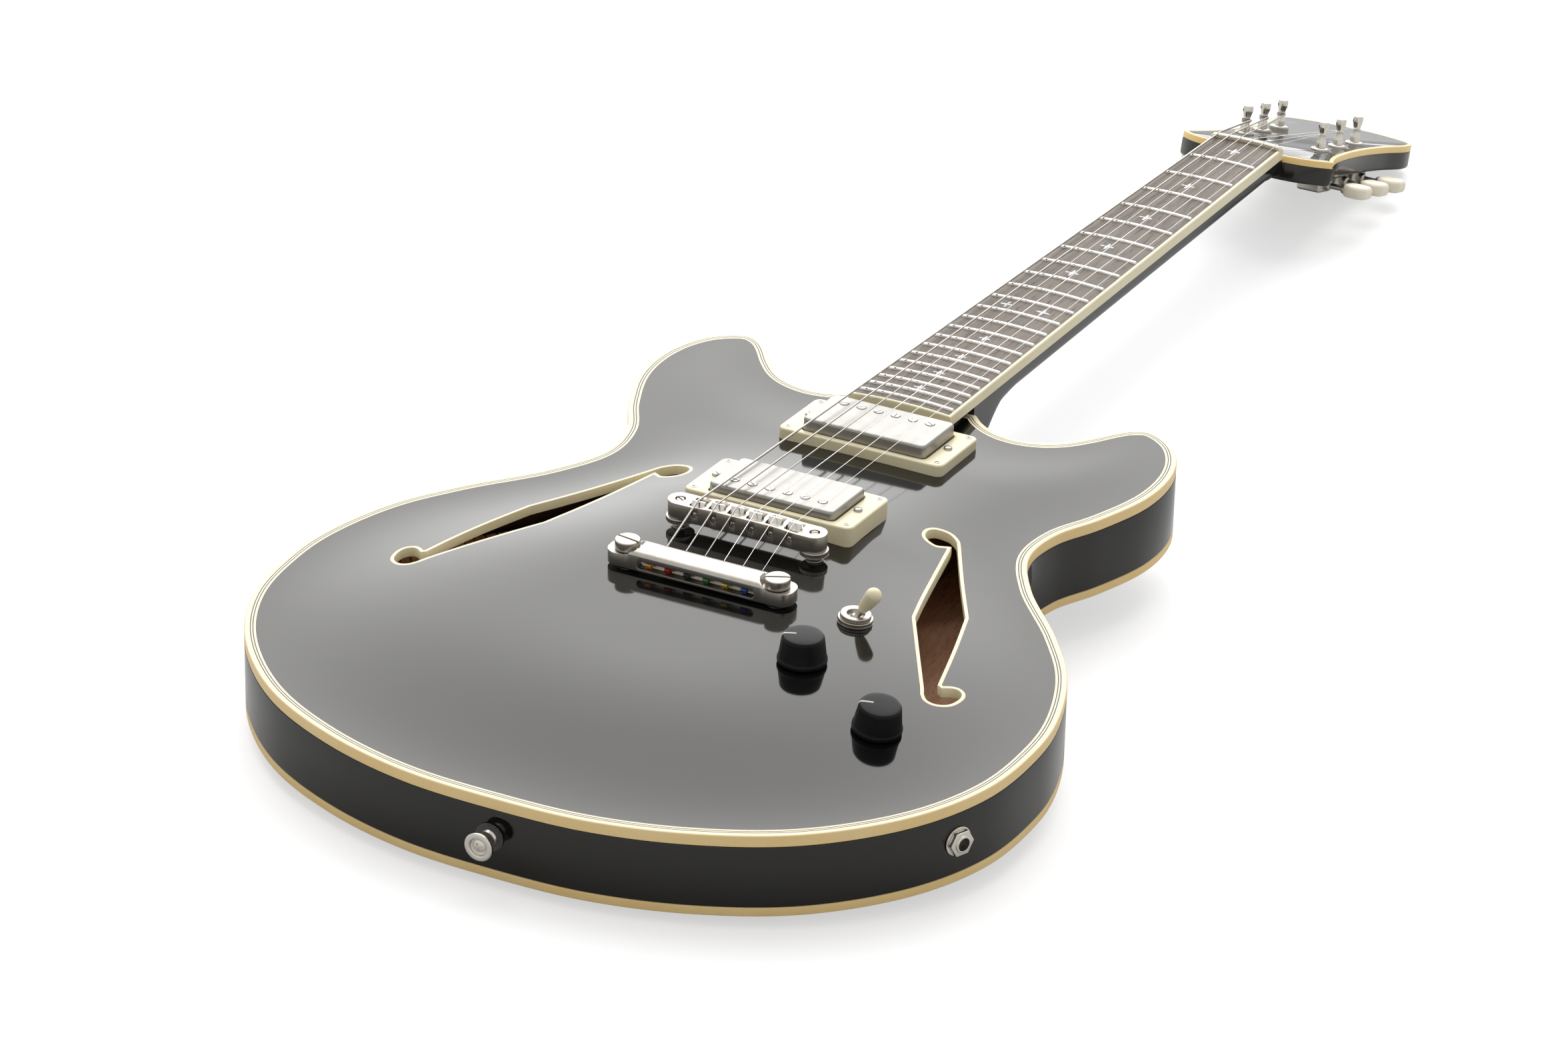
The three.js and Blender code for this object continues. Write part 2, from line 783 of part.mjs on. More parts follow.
// Body pieces
function bodyTop() {
  const plate = domed(topLoop, topAt, (x, y) => topAt(x, y) - body.topThickness);
  const fCuts = sides.map(({ name }) => prism(
    inset(fLoops[name], -gap), -body.topThickness - cutOverrun, plateReach));
  return cutAll(plate, [...fCuts, ...routeCuts, ...fittingCuts, ...controlCuts]);
}
function bodyBack() {
  return domed(backLoop, (x, y) => backAt(x, y) + body.backThickness, backAt, backRingShares);
}
// The frame at a place on the treble edge: z points out of the wall and x up along the edge
function edgeFrame(y, z) {
  const index = outline.findIndex(([x, from], i) => {
    const next = outline[i + 1] ?? outline[0];
    return x > 0 && from <= y && next[1] > y;
  });
  const [from, to] = [outline[index], outline[index + 1]];
  const share = (y - from[1]) / (to[1] - from[1]);
  const along = new THREE.Vector3(to[0] - from[0], to[1] - from[1], 0).normalize();
  const outward = new THREE.Vector3(along.y, -along.x, 0);
  const up = new THREE.Vector3().crossVectors(outward, along);
  return new THREE.Matrix4().makeBasis(along, up, outward)
    .setPosition(from[0] + (to[0] - from[0]) * share, y, z);
}
const jackPlace = edgeFrame(towardTail(jack.yShare), -jack.below);
const tailPlace = new THREE.Matrix4().makeRotationX(quarterTurn).setPosition(0, tailY, -strap.below);

// The tenon starts behind the neck pickup's route
const tenonStart = pickups[0].fromBridge + routeWidth / 2 + neck.tenonWall;
function tenonLoop(grow) {
  const half = neck.tenonWidth / 2 + grow;
  const start = tenonStart - grow;
  const end = neckJointY + cutOverrun;
  return [[-half, start], [half, start], [half, end], [-half, end]];
}
function bodyRim() {
  const wall = prism(outline, rimBottom, rimTop);
  const ledge = prism(topLoop, rimTop - cutOverrun, -body.topThickness - gap);
  const foot = prism(backLoop, -body.depth + body.backThickness + gap, rimBottom + cutOverrun);
  const hollow = prism(inset(outline, body.liningWidth), -body.depth, cutOverrun);
  const groove = prism(inset(outline, body.wall),
    -body.depth + body.backThickness + body.liningHeight, -body.topThickness - body.liningHeight);
  const jackBore = rod(jack.sleeveDiameter + 2 * gap, -jack.barrelLength, jack.barrelLength,
    jack.roundSides, jackPlace);
  const tenonCut = prism(tenonLoop(gap), -neck.tenonBottom - gap, cutOverrun);
  return cutAll(joinAll([wall, ledge, foot]), [hollow, groove, jackBore, tenonCut]);
}
function centreBlock() {
  const deepest = -body.depth - body.backArch;
  const underTop = domed(topLoop, (x, y) => topAt(x, y) - body.topThickness - gap, () => deepest);
  const overBack = domed(backLoop, () => plateReach,
    (x, y) => backAt(x, y) + body.backThickness + gap, backRingShares);
  const half = body.blockWidth / 2;
  const strip = prism([[-half, tailY], [half, tailY], [half, neckJointY], [-half, neckJointY]],
    deepest, plateReach).intersect(prism(inset(outline, body.liningWidth + gap), deepest, plateReach));
  const tenonCut = prism(tenonLoop(gap), -neck.tenonBottom - gap, plateReach);
  return cutAll(strip.intersect(underTop).intersect(overBack), [...routeCuts, ...fittingCuts, tenonCut]);
}
function band(loop, width, z0, z1, matrix) {
  const opening = prism(inset(loop, width), z0 - cutOverrun, z1 + cutOverrun, matrix);
  return prism(loop, z0, z1, matrix).subtract(opening);
}
// A flat band whose faces are lifted onto two height functions
function draped(flat, middleZ, upper, lower) {
  const data = flat.getMesh();
  const points = new Float32Array(data.vertProperties);
  for (let i = 0; i < points.length; i += 3) {
    const height = points[i + 2] > middleZ ? upper : lower;
    points[i + 2] = height(points[i], points[i + 1]);
  }
  return new wasm.Manifold(new wasm.Mesh({
    numProp: 3, vertProperties: points, triVerts: new Uint32Array(data.triVerts),
  }));
}
function fHoleBinding(name) {
  const flat = band(fLoops[name], binding.fHoleWidth, -body.topThickness, 0);
  return draped(flat, -body.topThickness / 2, topAt, (x, y) => topAt(x, y) - body.topThickness);
}

// Neck
const boardDepth = board.thickness + crownDrop(board.widthAtEnd / 2);
const neckTopAt = (y) => crownAt(y) - (boardDepth + gap) / Math.cos(scale.neckAngle);
function neckSection(y, width, depth, fullnessShare) {
  return Array.from({ length: neck.sectionPoints + 1 }, (_, k) => {
    const angle = (Math.PI * k) / neck.sectionPoints;
    const x = (Math.cos(angle) * width) / 2;
    return new THREE.Vector3(x, y, neckTopAt(y) - depth * Math.sin(angle) ** fullnessShare);
  });
}
const headPlace = new THREE.Matrix4().makeRotationX(-scale.neckAngle - head.tilt)
  .setPosition(0, nutY + nut.length + gap, crownAt(nutY) - head.faceDrop);
const inHead = (x, y, z) => headPlace.clone().multiply(moved(x, y, z));
function headLoop() {
  const half = headShares.map(([sx, sy]) => [sx * head.halfWidth, sy * head.length]);
  const shoulder = curveThrough(half.slice(0, head.shoulderKnots), head.shoulderPoints);
  const edge = curveThrough(half.slice(head.shoulderKnots - 1), head.edgePoints);
  const right = [...shoulder, ...edge.slice(1)];
  return [...right, ...mirrored(right)];
}
const headOutline = headLoop();
const tunerPlaces = stringNumbers.map((number) => {
  const bassSide = number <= stringNumbers.length / 2;
  const sign = bassSide ? -1 : 1;
  const row = bassSide ? number - 1 : stringNumbers.length - number;
  return { number, sign, x: sign * tuner.fromMiddle, y: tuner.rowShares[row] * head.length };
});
const housingBottom = -head.thickness - tuner.housingHeight;
const shaftHeight = -head.thickness - tuner.housingHeight / 2;
// The shaft's frame: z points out to the side of the headstock, and y stays along it
const shaftFrame = ({ sign, x, y }) => inHead(x, y, shaftHeight)
  .multiply(new THREE.Matrix4().makeRotationY(sign * quarterTurn));

function tunerHousing(place) {
  const { x, y } = place;
  const block = box([x, y, (housingBottom - head.thickness) / 2 + gap],
    [tuner.housingWidth, tuner.housingLength, tuner.housingHeight + 2 * gap], headPlace);
  const collar = rod(tuner.collarDiameter, 0, tuner.housingWidth / 2 + tuner.collarLength,
    tuner.roundSides, shaftFrame(place));
  const bushing = rod(tuner.bushingDiameter, -head.thickness / 2, tuner.bushingHeight,
    tuner.roundSides, inHead(x, y, 0));
  return joinAll([block, collar, bushing]);
}
function tunerBores(place) {
  const post = rod(tuner.postDiameter + 2 * gap, housingBottom + tuner.housingWall,
    tuner.postHeight, tuner.roundSides, inHead(place.x, place.y, 0));
  const shaft = rod(tuner.shaftDiameter + 2 * gap, tuner.postDiameter / 2 + tuner.housingWall,
    tuner.housingWidth, tuner.roundSides, shaftFrame(place));
  return [post, shaft];
}
function neckPiece() {
  const start = neckJointY + gap;
  const heelTo = start + neck.heelLength;
  const sections = [
    [start, neck.heelDepth, neck.heelFullnessShare],
    [start + neck.heelFoot, neck.heelDepth, neck.heelFullnessShare],
    [start + neck.heelFoot + neck.heelSweep, (neck.heelDepth + neck.depthAtBody) / 2,
      neck.heelFullnessShare],
    [heelTo, neck.depthAtBody + neck.heelSweep / 2, neck.fullnessShare],
    [heelTo + neck.heelSweep * 2, neck.depthAtBody, neck.fullnessShare],
    [nutY, neck.depthAtNut, neck.fullnessShare],
    [nutY + nut.length, neck.depthAtNut, neck.fullnessShare],
  ].map(([y, depth, share]) => neckSection(y, boardWidthAt(y), depth, share));
  const volute = loft([
    neckSection(nutY - nut.length, boardWidthAt(nutY), neck.depthAtNut, neck.fullnessShare),
    neckSection(nutY + nut.length, boardWidthAt(nutY), neck.depthAtNut + neck.voluteRise,
      neck.fullnessShare),
    neckSection(nutY + neck.voluteLength, boardWidthAt(nutY) / 2, neck.depthAtNut + neck.voluteRise,
      neck.fullnessShare),
  ]);
  const faceRoom = prism(inset(headOutline, -gap), -binding.headHeight - gap, head.length, headPlace);
  const shaft = loft(sections).add(volute).subtract(faceRoom);
  const half = boardWidthAt(board.endFromBridge) / 2 - neck.tongueInset;
  const tongueStart = board.endFromBridge + binding.boardWidth;
  const tongueLoop = [[-half, tongueStart], [half, tongueStart],
    [half, start + neck.heelFoot], [-half, start + neck.heelFoot]];
  const tongue = prism(tongueLoop, -boardDepth - neck.tongueDepth, -boardDepth - gap, onCrown)
    .subtract(topSurface);
  const tenon = prism(tenonLoop(0), -neck.tenonBottom, rimTop);
  const core = prism(headOutline, -head.thickness, -binding.headHeight - gap, headPlace);
  const underFace = prism(inset(headOutline, binding.headWidth + gap),
    -head.thickness / 2, -head.faceThickness - gap, headPlace);
  const joined = joinAll([shaft, tongue, tenon, core, underFace,
    ...tunerPlaces.map(tunerHousing)]);
  return cutAll(joined, tunerPlaces.flatMap(tunerBores));
}
function headFace() {
  const face = prism(inset(headOutline, binding.headWidth + gap), -head.faceThickness, 0, headPlace);
  const bores = tunerPlaces.map(({ x, y }) => rod(tuner.bushingDiameter + 2 * gap, -head.thickness,
    head.thickness, tuner.roundSides, inHead(x, y, 0)));
  return cutAll(face, bores);
}
function rodCover() {
  const half = coverShares.map(([sx, sy]) => [(sx * cover.width) / 2, cover.fromNut + sy * cover.length]);
  const loop = [...half, ...mirrored(half.slice(0, -1))];
  return roundedPrism(loop, gap, gap + cover.thickness, cover.bevel, headPlace);
}

// Fretboard: its skin runs along the neck and rises at each fret
function boardSkin(stations, widthAt) {
  const rings = stations.map(([y, rise]) => {
    const half = widthAt(y) / 2;
    const crown = Array.from({ length: board.crownSteps + 1 }, (_, k) => {
      const x = half * ((2 * k) / board.crownSteps - 1);
      return [x, rise - crownDrop(x)];
    });
    return [[half, -boardDepth], [-half, -boardDepth], ...crown]
      .map(([x, z]) => new THREE.Vector3(x, y, z).applyMatrix4(onCrown));
  });
  return loft(rings);
}
const innerBoardWidth = (y) => boardWidthAlong(y) - 2 * (binding.boardWidth + gap);
function fretboard() {
  const fretNumbers = Array.from({ length: board.frets }, (_, i) => board.frets - i);
  const frets = fretNumbers.flatMap((fret) => {
    const y = scale.length * 2 ** (-fret / 12);
    return [
      [y - board.fretWidth / 2, 0],
      [y, board.fretHeight],
      [y + board.fretWidth / 2, 0],
    ];
  });
  const start = board.endFromBridge + binding.boardWidth + gap;
  return boardSkin([[start, 0], ...frets, [scale.length - gap, 0]], innerBoardWidth);
}
function boardBinding() {
  const start = board.endFromBridge;
  const whole = boardSkin([[start, 0], [scale.length - gap, 0]], boardWidthAlong);
  const innerStart = start + binding.boardWidth;
  const innerEnd = scale.length + cutOverrun;
  const halves = [innerStart, innerEnd].map((y) => boardWidthAlong(y) / 2 - binding.boardWidth);
  const loop = [[-halves[0], innerStart], [halves[0], innerStart],
    [halves[1], innerEnd], [-halves[1], innerEnd]];
  return whole.subtract(prism(loop, -boardDepth - cutOverrun, cutOverrun, onCrown));
}

// The strings' lines: x is worked out from the distance to the bridge
const stringX = (number, y) => {
  const place = number - (stringNumbers.length + 1) / 2;
  return place * (scale.spacingAtBridge + ((scale.spacingAtNut - scale.spacingAtBridge) * y) / nutY);
};
const stringRise = (y) => scale.riseAtBridge + ((scale.riseAtNut - scale.riseAtBridge) * y) / nutY;
const stringZ = (number, y) => crownAt(y) + stringRise(y) - crownDrop(stringX(number, y));
const stringPoint = (number, y) => new THREE.Vector3(stringX(number, y), y, stringZ(number, y));
const diameterOf = (number) => stringDiameters[number - 1];

function nutPiece() {
  const half = board.widthAtNut / 2;
  const topAtX = (x) => scale.riseAtNut + nut.rise - crownDrop(x);
  const notches = stringNumbers.flatMap((number) => {
    const x = stringX(number, nutY);
    const reach = diameterOf(number) / 2 + gap;
    const floor = scale.riseAtNut - crownDrop(x) - reach;
    return [[x - reach, topAtX(x)], [x - reach, floor], [x + reach, floor], [x + reach, topAtX(x)]];
  });
  const loop = [[-half, -boardDepth], [-half, topAtX(half)], ...notches,
    [half, topAtX(half)], [half, -boardDepth]].reverse();
  const place = neckFrame(nutY).multiply(tailView);
  return prism(loop, -nut.length, 0, place);
}

// Pickups
function pickupRing({ fromBridge, ringBelowCrown }) {
  const frame = neckFrame(fromBridge, ringBelowCrown);
  const { ringLength, ringWidth, ringCorner, ringReach, ringBevel, ringOpeningGap } = pickup;
  const loop = roundedRectangle(ringLength, ringWidth, ringCorner);
  const opening = roundedRectangle(pickup.coverLength + 2 * ringOpeningGap,
    pickup.coverWidth + 2 * ringOpeningGap, pickup.coverCorner);
  const frameSolid = roundedPrism(loop, -ringReach, 0, ringBevel, frame)
    .subtract(prism(opening, -ringReach, ringReach, frame))
    .subtract(topSurface);
  const [cornerX, cornerY] = [ringLength, ringWidth].map((size) => size / 2 - pickup.cornerInset);
  const screws = sides.flatMap(({ sign }) => {
    const place = frame.clone().multiply(moved(sign * screwX, 0, 0));
    const corners = sides.map(({ sign: end }) => rod(pickup.cornerHead, -ringBevel,
      pickup.cornerHeadRise, pickup.roundSides,
      frame.clone().multiply(moved(sign * cornerX, end * cornerY, 0))));
    return [
      rod(pickup.screwDiameter, -pickup.screwLength, 0, pickup.roundSides, place),
      rod(pickup.screwHead, -ringBevel, pickup.screwHeadRise, pickup.roundSides, place),
      ...corners,
    ];
  });
  return joinAll([frameSolid, ...screws]);
}
const coverFrame = ({ fromBridge, ringBelowCrown, rise }) => (
  neckFrame(fromBridge, ringBelowCrown).multiply(moved(0, 0, rise)));
const poleRods = (from, to, diameter, { poleSide }, frame) => stringNumbers.map((number) => {
  const x = (number - (stringNumbers.length + 1) / 2) * pickup.poleSpacing;
  const place = frame.clone().multiply(moved(x, poleSide * pickup.poleOffset, 0));
  return rod(diameter, from, to, pickup.roundSides, place);
});
function pickupCover(place) {
  const frame = coverFrame(place);
  const { coverLength, coverWidth, coverHeight, coverCorner, coverRound, coverWall } = pickup;
  const loop = roundedRectangle(coverLength, coverWidth, coverCorner);
  const shell = roundedPrism(loop, -coverHeight / 2, 0, coverRound, frame)
    .add(prism(loop, -coverHeight, -2 * coverRound, frame));
  const inner = roundedRectangle(coverLength - 2 * coverWall, coverWidth - 2 * coverWall,
    coverCorner - coverWall);
  const hollow = prism(inner, -coverHeight - cutOverrun, -coverRound, frame);
  const bores = poleRods(-coverHeight, cutOverrun, pickup.poleDiameter + 2 * gap, place, frame);
  return cutAll(shell, [hollow, ...bores]);
}
function pickupCoils(place) {
  const frame = coverFrame(place);
  const shrink = 2 * (pickup.coverWall + gap);
  const baseTop = -pickup.coverHeight - gap;
  const baseBottom = baseTop - pickup.baseHeight;
  const coils = prism(roundedRectangle(pickup.coverLength - shrink, pickup.coverWidth - shrink,
    pickup.coverCorner - pickup.coverWall - gap), baseBottom, -pickup.coverRound - gap, frame);
  const base = prism(roundedRectangle(pickup.coverLength, pickup.coverWidth, pickup.coverCorner),
    baseBottom, baseTop, frame);
  const ears = prism(roundedRectangle(baseLength, pickup.earWidth, pickup.coverCorner),
    baseBottom, baseTop, frame);
  const bores = sides.map(({ sign }) => rod(pickup.screwDiameter + 2 * gap, -pickup.routeDepth,
    pickup.routeDepth, pickup.roundSides, frame.clone().multiply(moved(sign * screwX, 0, 0))));
  const poles = poleRods(baseTop, pickup.poleRise, pickup.poleDiameter, place, frame);
  return cutAll(joinAll([coils, base, ears, ...poles]), bores);
}

// Bridge
const bridgeY = -bridge.behindScaleEnd;
const bridgeBottom = bridge.top - bridge.height;
const pocketHalf = bridge.width / 2 - bridge.wall;
const saddleTravel = pocketHalf - bridge.saddleLength / 2 - gap;
const pocketFloor = bridgeBottom + bridge.floor;
const screwZ = pocketFloor + gap + bridge.saddleHeight / 2;
const saddleY = (number) => bridgeY + bridge.compensation[number - 1];
// Where a string bends down to the tailpiece, just behind its saddle's reach
const stringBendY = bridgeY - saddleTravel - bridge.ridgeLength / 2;
function bridgeBody() {
  const { length, width, top } = bridge;
  const plan = prism(roundedRectangle(length, width, width / 2, bridge.endSteps),
    bridgeBottom, top + bridge.crown, moved(0, bridgeY, 0));
  const ends = bridge.postSpacing / 2 - width / 2;
  const front = [[-length, bridgeBottom], [length, bridgeBottom], [length, top], [ends, top],
    [ends / 2, top + bridge.crown], [-ends / 2, top + bridge.crown], [-ends, top], [-length, top]];
  const shaped = plan.intersect(prism(front, -width, width, moved(0, bridgeY, 0).multiply(tailView)));
  const pockets = stringNumbers.map((number) => box(
    [stringX(number, bridgeY), bridgeY, (pocketFloor + top + cutOverrun) / 2],
    [bridge.saddleWidth + 2 * gap, 2 * pocketHalf, top + cutOverrun - pocketFloor]));
  const postBores = postPlaces.map(({ x, y }) => rod(bridge.postDiameter + 2 * gap,
    bridgeBottom - cutOverrun, top + cutOverrun, bridge.roundSides, moved(x, y, 0)));
  const screws = stringNumbers.flatMap((number) => {
    const place = moved(stringX(number, bridgeY), bridgeY, screwZ).multiply(tailView);
    const reach = width / 2;
    return [
      rod(bridge.screwDiameter, -reach + bridge.wall / 2, reach, bridge.screwSides, place),
      rod(bridge.screwHead, reach - gap, reach + bridge.screwHeadLength, bridge.screwSides, place),
    ];
  });
  return joinAll([cutAll(shaped, [...pockets, ...postBores]), ...screws]);
}
function saddle(number) {
  const x = stringX(number, bridgeY);
  const y = saddleY(number);
  const half = bridge.saddleLength / 2;
  const base = pocketFloor + gap;
  const shoulder = base + bridge.saddleHeight;
  const farthest = bridgeY + saddleTravel + bridge.ridgeLength / 2;
  const under = stringZ(number, farthest) - diameterOf(number) / 2 - gap;
  const ridge = under + bridge.notchDepth;
  const tip = bridge.ridgeLength / 2;
  const loop = [[-half, base], [half, base], [half, shoulder], [tip, ridge], [-tip, ridge],
    [-half, shoulder]];
  const block = prism(loop, -bridge.saddleWidth / 2, bridge.saddleWidth / 2,
    moved(x, y, 0).multiply(sideView));
  const notch = box([stringX(number, y), y, under + bridge.notchDepth],
    [diameterOf(number) + 2 * gap, bridge.saddleLength * 2, 2 * bridge.notchDepth]);
  const bore = rod(bridge.screwDiameter + 2 * gap, -bridge.width, bridge.width, bridge.screwSides,
    moved(x, y, screwZ).multiply(tailView));
  return cutAll(block, [notch, bore]);
}
function bridgePost({ x, y }) {
  const seat = topAt(x, y) + gap;
  const wheelTop = bridgeBottom - gap;
  const bushing = bridge.bushingDiameter / 2;
  const stem = bridge.postDiameter / 2;
  const wheel = bridge.wheelDiameter / 2;
  const flange = bushing + bridge.bushingLip;
  return turned([
    [0, -bridge.bushingDepth], [bushing, -bridge.bushingDepth], [bushing, seat], [flange, seat],
    [flange, seat + bridge.bushingRise], [stem, seat + bridge.bushingRise],
    [stem, wheelTop - bridge.wheelHeight], [wheel, wheelTop - bridge.wheelHeight],
    [wheel, wheelTop], [stem, wheelTop], [stem, bridge.top - gap], [0, bridge.top - gap],
  ], bridge.roundSides, moved(x, y, 0));
}

// Tailpiece
const tailSurface = topAt(tail.studSpacing / 2, -tail.fromBridge);
const earBottom = tailSurface + tail.earLift;
const earTop = earBottom + tail.earThickness;
const tailBack = -tail.fromBridge - tail.width / 2;
const boreZ = (earBottom + earTop) / 2;
const ballY = tailBack + tail.slotDepth - tail.ballDiameter / 2 - gap;
function tailpiece() {
  const place = moved(0, -tail.fromBridge, 0);
  const plan = prism(roundedRectangle(tail.length, tail.width, tail.endRound, tail.endSteps),
    earBottom, earTop, place);
  const hump = Array.from({ length: tail.humpSteps + 1 }, (_, k) => {
    const angle = (Math.PI * k) / tail.humpSteps;
    return [(tail.width / 2) * Math.cos(angle), earTop + tail.humpRise * Math.sin(angle)];
  });
  const half = tail.width / 2;
  const barLoop = [[-half, boreZ], [half, boreZ], ...hump];
  const bar = prism(barLoop, -tail.studSpacing / 2, tail.studSpacing / 2, place.clone().multiply(sideView));
  const scoops = studPlaces.map(({ x, y }) => rod(tail.studHead + 2 * tail.headRoom, earTop,
    bridge.top + cutOverrun, tail.scoopSides, moved(x, y, 0)));
  const slotLength = (stringNumbers.length - 1) * scale.spacingAtBridge + tail.slotMargin;
  const slot = prism(roundedRectangle(slotLength, tail.slotHeight, tail.slotHeight / 2),
    -tail.slotDepth, cutOverrun, moved(0, tailBack, boreZ).multiply(tailView));
  const bores = stringNumbers.map((number) => rod(tail.bore, -tail.width, tail.width,
    tail.boreSides, moved(stringX(number, 0), -tail.fromBridge, boreZ).multiply(tailView)));
  const notches = studPlaces.flatMap(({ x, y }) => [
    rod(tail.studNeck + 2 * gap, earBottom - cutOverrun, earTop + cutOverrun, bridge.roundSides,
      moved(x, y, 0)),
    box([x, y + tail.width / 2, boreZ],
      [tail.studNeck + 2 * gap, tail.width, tail.earThickness + 2 * cutOverrun]),
  ]);
  return cutAll(plan.add(cutAll(bar, scoops)), [slot, ...bores, ...notches]);
}
function tailStud({ x, y }) {
  const bushing = tail.bushingDiameter / 2;
  const seat = tailSurface + gap;
  const lip = bushing + bridge.bushingLip;
  const stem = tail.studNeck / 2;
  const headRadius = tail.studHead / 2;
  const headTop = earTop + gap + tail.studHeadHeight;
  const slotZ = headTop - tail.studSlot / 2;
  const stud = turned([
    [0, -tail.bushingDepth], [bushing, -tail.bushingDepth], [bushing, seat], [lip, seat],
    [lip, earBottom - gap], [stem, earBottom - gap], [stem, earTop + gap],
    [headRadius, earTop + gap], [headRadius, headTop - tail.studSlot / 2],
    [headRadius - tail.studSlot / 2, headTop], [0, headTop],
  ], bridge.roundSides, moved(x, y, 0));
  const turn = x < 0 ? tail.bassSlotTurn : tail.trebleSlotTurn;
  const slot = box([0, 0, slotZ + tail.studSlot / 2], [tail.studSlot, tail.studHead * 2, 2 * tail.studSlot],
    moved(x, y, 0).multiply(new THREE.Matrix4().makeRotationZ(turn)));
  return stud.subtract(slot);
}

// Strings: ball end, bore, bend behind the saddle, nut and post
const postSide = ({ sign, x, y }) => new THREE.Vector3(
  x - sign * (tuner.postDiameter / 2 + tuner.wrap + gap), y, tuner.stringHeight).applyMatrix4(headPlace);
function stringPiece(number) {
  const diameter = diameterOf(number);
  const x = stringX(number, 0);
  const place = tunerPlaces[number - 1];
  const nutBack = stringPoint(number, nutY + nut.length);
  const toPost = postSide(place);
  toPost.x -= (place.sign * diameter) / 2;
  const points = [
    new THREE.Vector3(x, ballY, boreZ),
    new THREE.Vector3(x, tailBack + tail.width + gap, boreZ),
    stringPoint(number, stringBendY),
    nutBack,
    toPost,
  ];
  const line = wire(points, diameter, scale.wireSides);
  const ball = rod(tail.ballDiameter, -tail.ballLength / 2, tail.ballLength / 2, tail.boreSides,
    moved(x, ballY, boreZ).multiply(new THREE.Matrix4().makeRotationY(quarterTurn)));
  return line.add(ball);
}

// Tuner posts and buttons
function tunerPost({ x, y }) {
  const radius = tuner.postDiameter / 2;
  const [wrapFrom, wrapTo] = [-1, 1].map((side) => tuner.stringHeight + side * tuner.wrapHeight / 2);
  return turned([
    [0, housingBottom + tuner.housingWall + gap], [radius, housingBottom + tuner.housingWall + gap],
    [radius, wrapFrom], [radius + tuner.wrap, wrapFrom], [radius + tuner.wrap, wrapTo],
    [radius, wrapTo], [radius, tuner.postHeight - tuner.wrap], [radius - tuner.wrap, tuner.postHeight],
    [0, tuner.postHeight],
  ], tuner.roundSides, inHead(x, y, 0));
}
function tunerButton(place) {
  const frame = shaftFrame(place);
  const from = tuner.postDiameter / 2 + tuner.housingWall + gap;
  const start = tuner.buttonFrom - tuner.fromMiddle;
  const shaft = rod(tuner.shaftDiameter, from, start + tuner.buttonRound * 2, tuner.shaftSides, frame);
  const loop = shifted(roundedRectangle(tuner.buttonWidth, tuner.buttonLength, tuner.buttonCorner),
    0, start + tuner.buttonLength / 2);
  const turnedPlate = frame.clone().multiply(sideView);
  const half = tuner.buttonThickness / 2;
  const plate = roundedPrism(loop, -half, half, tuner.buttonRound, turnedPlate);
  return shaft.add(plate);
}

// Controls
const canTop = -body.topThickness - control.canGap;
const canBottom = canTop - control.canHeight;
const shaftBottom = canBottom + control.canWall + gap;
function knobPiece({ x, y }) {
  const lift = gap + control.nutHeight * control.liftShare;
  const [base, top, shaft] = [control.knobBase, control.knobTop, control.shaftDiameter].map((d) => d / 2);
  const hollow = control.nutDiameter / 2 + control.knobRoom;
  const hollowTop = gap + control.nutHeight + control.knobRoom;
  const rise = lift + control.knobHeight;
  return turned([
    [0, shaftBottom], [shaft, shaftBottom], [shaft, hollowTop], [hollow, hollowTop], [hollow, lift],
    [base, lift], [base, lift + control.knobSkirt], [top, rise - control.knobCrown * 2],
    [top - control.knobCrown, rise - control.knobCrown / 2], [top / 2, rise], [0, rise],
  ], control.knobSides, seatFrame(x, y));
}
function potPiece({ x, y }) {
  const [can, sleeve, shaft] = [control.canDiameter, control.sleeveDiameter, control.shaftDiameter]
    .map((d) => d / 2);
  const nutRadius = control.nutDiameter / 2;
  const bore = shaft + gap;
  const nutTop = gap + control.nutHeight;
  return turned([
    [0, canBottom], [can, canBottom], [can, canTop], [sleeve, canTop], [sleeve, gap],
    [nutRadius, gap], [nutRadius, nutTop], [bore, nutTop], [bore, shaftBottom - gap],
    [0, shaftBottom - gap],
  ], control.roundSides, seatFrame(x, y));
}
const toggleTop = gap + toggle.wheelHeight + toggle.capHeight;
const pivotZ = toggleTop - toggle.pivotDepth;
function toggleSwitch() {
  const frame = seatFrame(togglePlace.x, togglePlace.y);
  const [wheel, cap, sleeve] = [toggle.wheelDiameter, toggle.capDiameter, toggle.sleeveDiameter]
    .map((d) => d / 2);
  const outside = turned([
    [0, canTop], [sleeve, canTop], [sleeve, gap], [wheel, gap], [wheel, gap + toggle.wheelHeight],
    [cap, gap + toggle.wheelHeight], [cap, toggleTop], [0, toggleTop],
  ], control.roundSides, frame);
  const housing = box([0, 0, canTop - toggle.boxHeight / 2 + gap],
    [toggle.boxWidth, toggle.boxLength, toggle.boxHeight], frame);
  const pivot = toggle.pivotDiameter / 2 + gap;
  const swing = toggle.pivotDepth * Math.tan(toggle.lean)
    + toggle.leverDiameter / 2 / Math.cos(toggle.lean) + gap;
  const floor = pivotZ - pivot;
  const mouth = turned([
    [0, floor], [pivot, floor], [pivot, pivotZ], [Math.max(pivot, swing), toggleTop],
    [Math.max(pivot, swing), toggleTop + cutOverrun], [0, toggleTop + cutOverrun],
  ], control.roundSides, frame);
  return outside.add(housing).subtract(mouth);
}
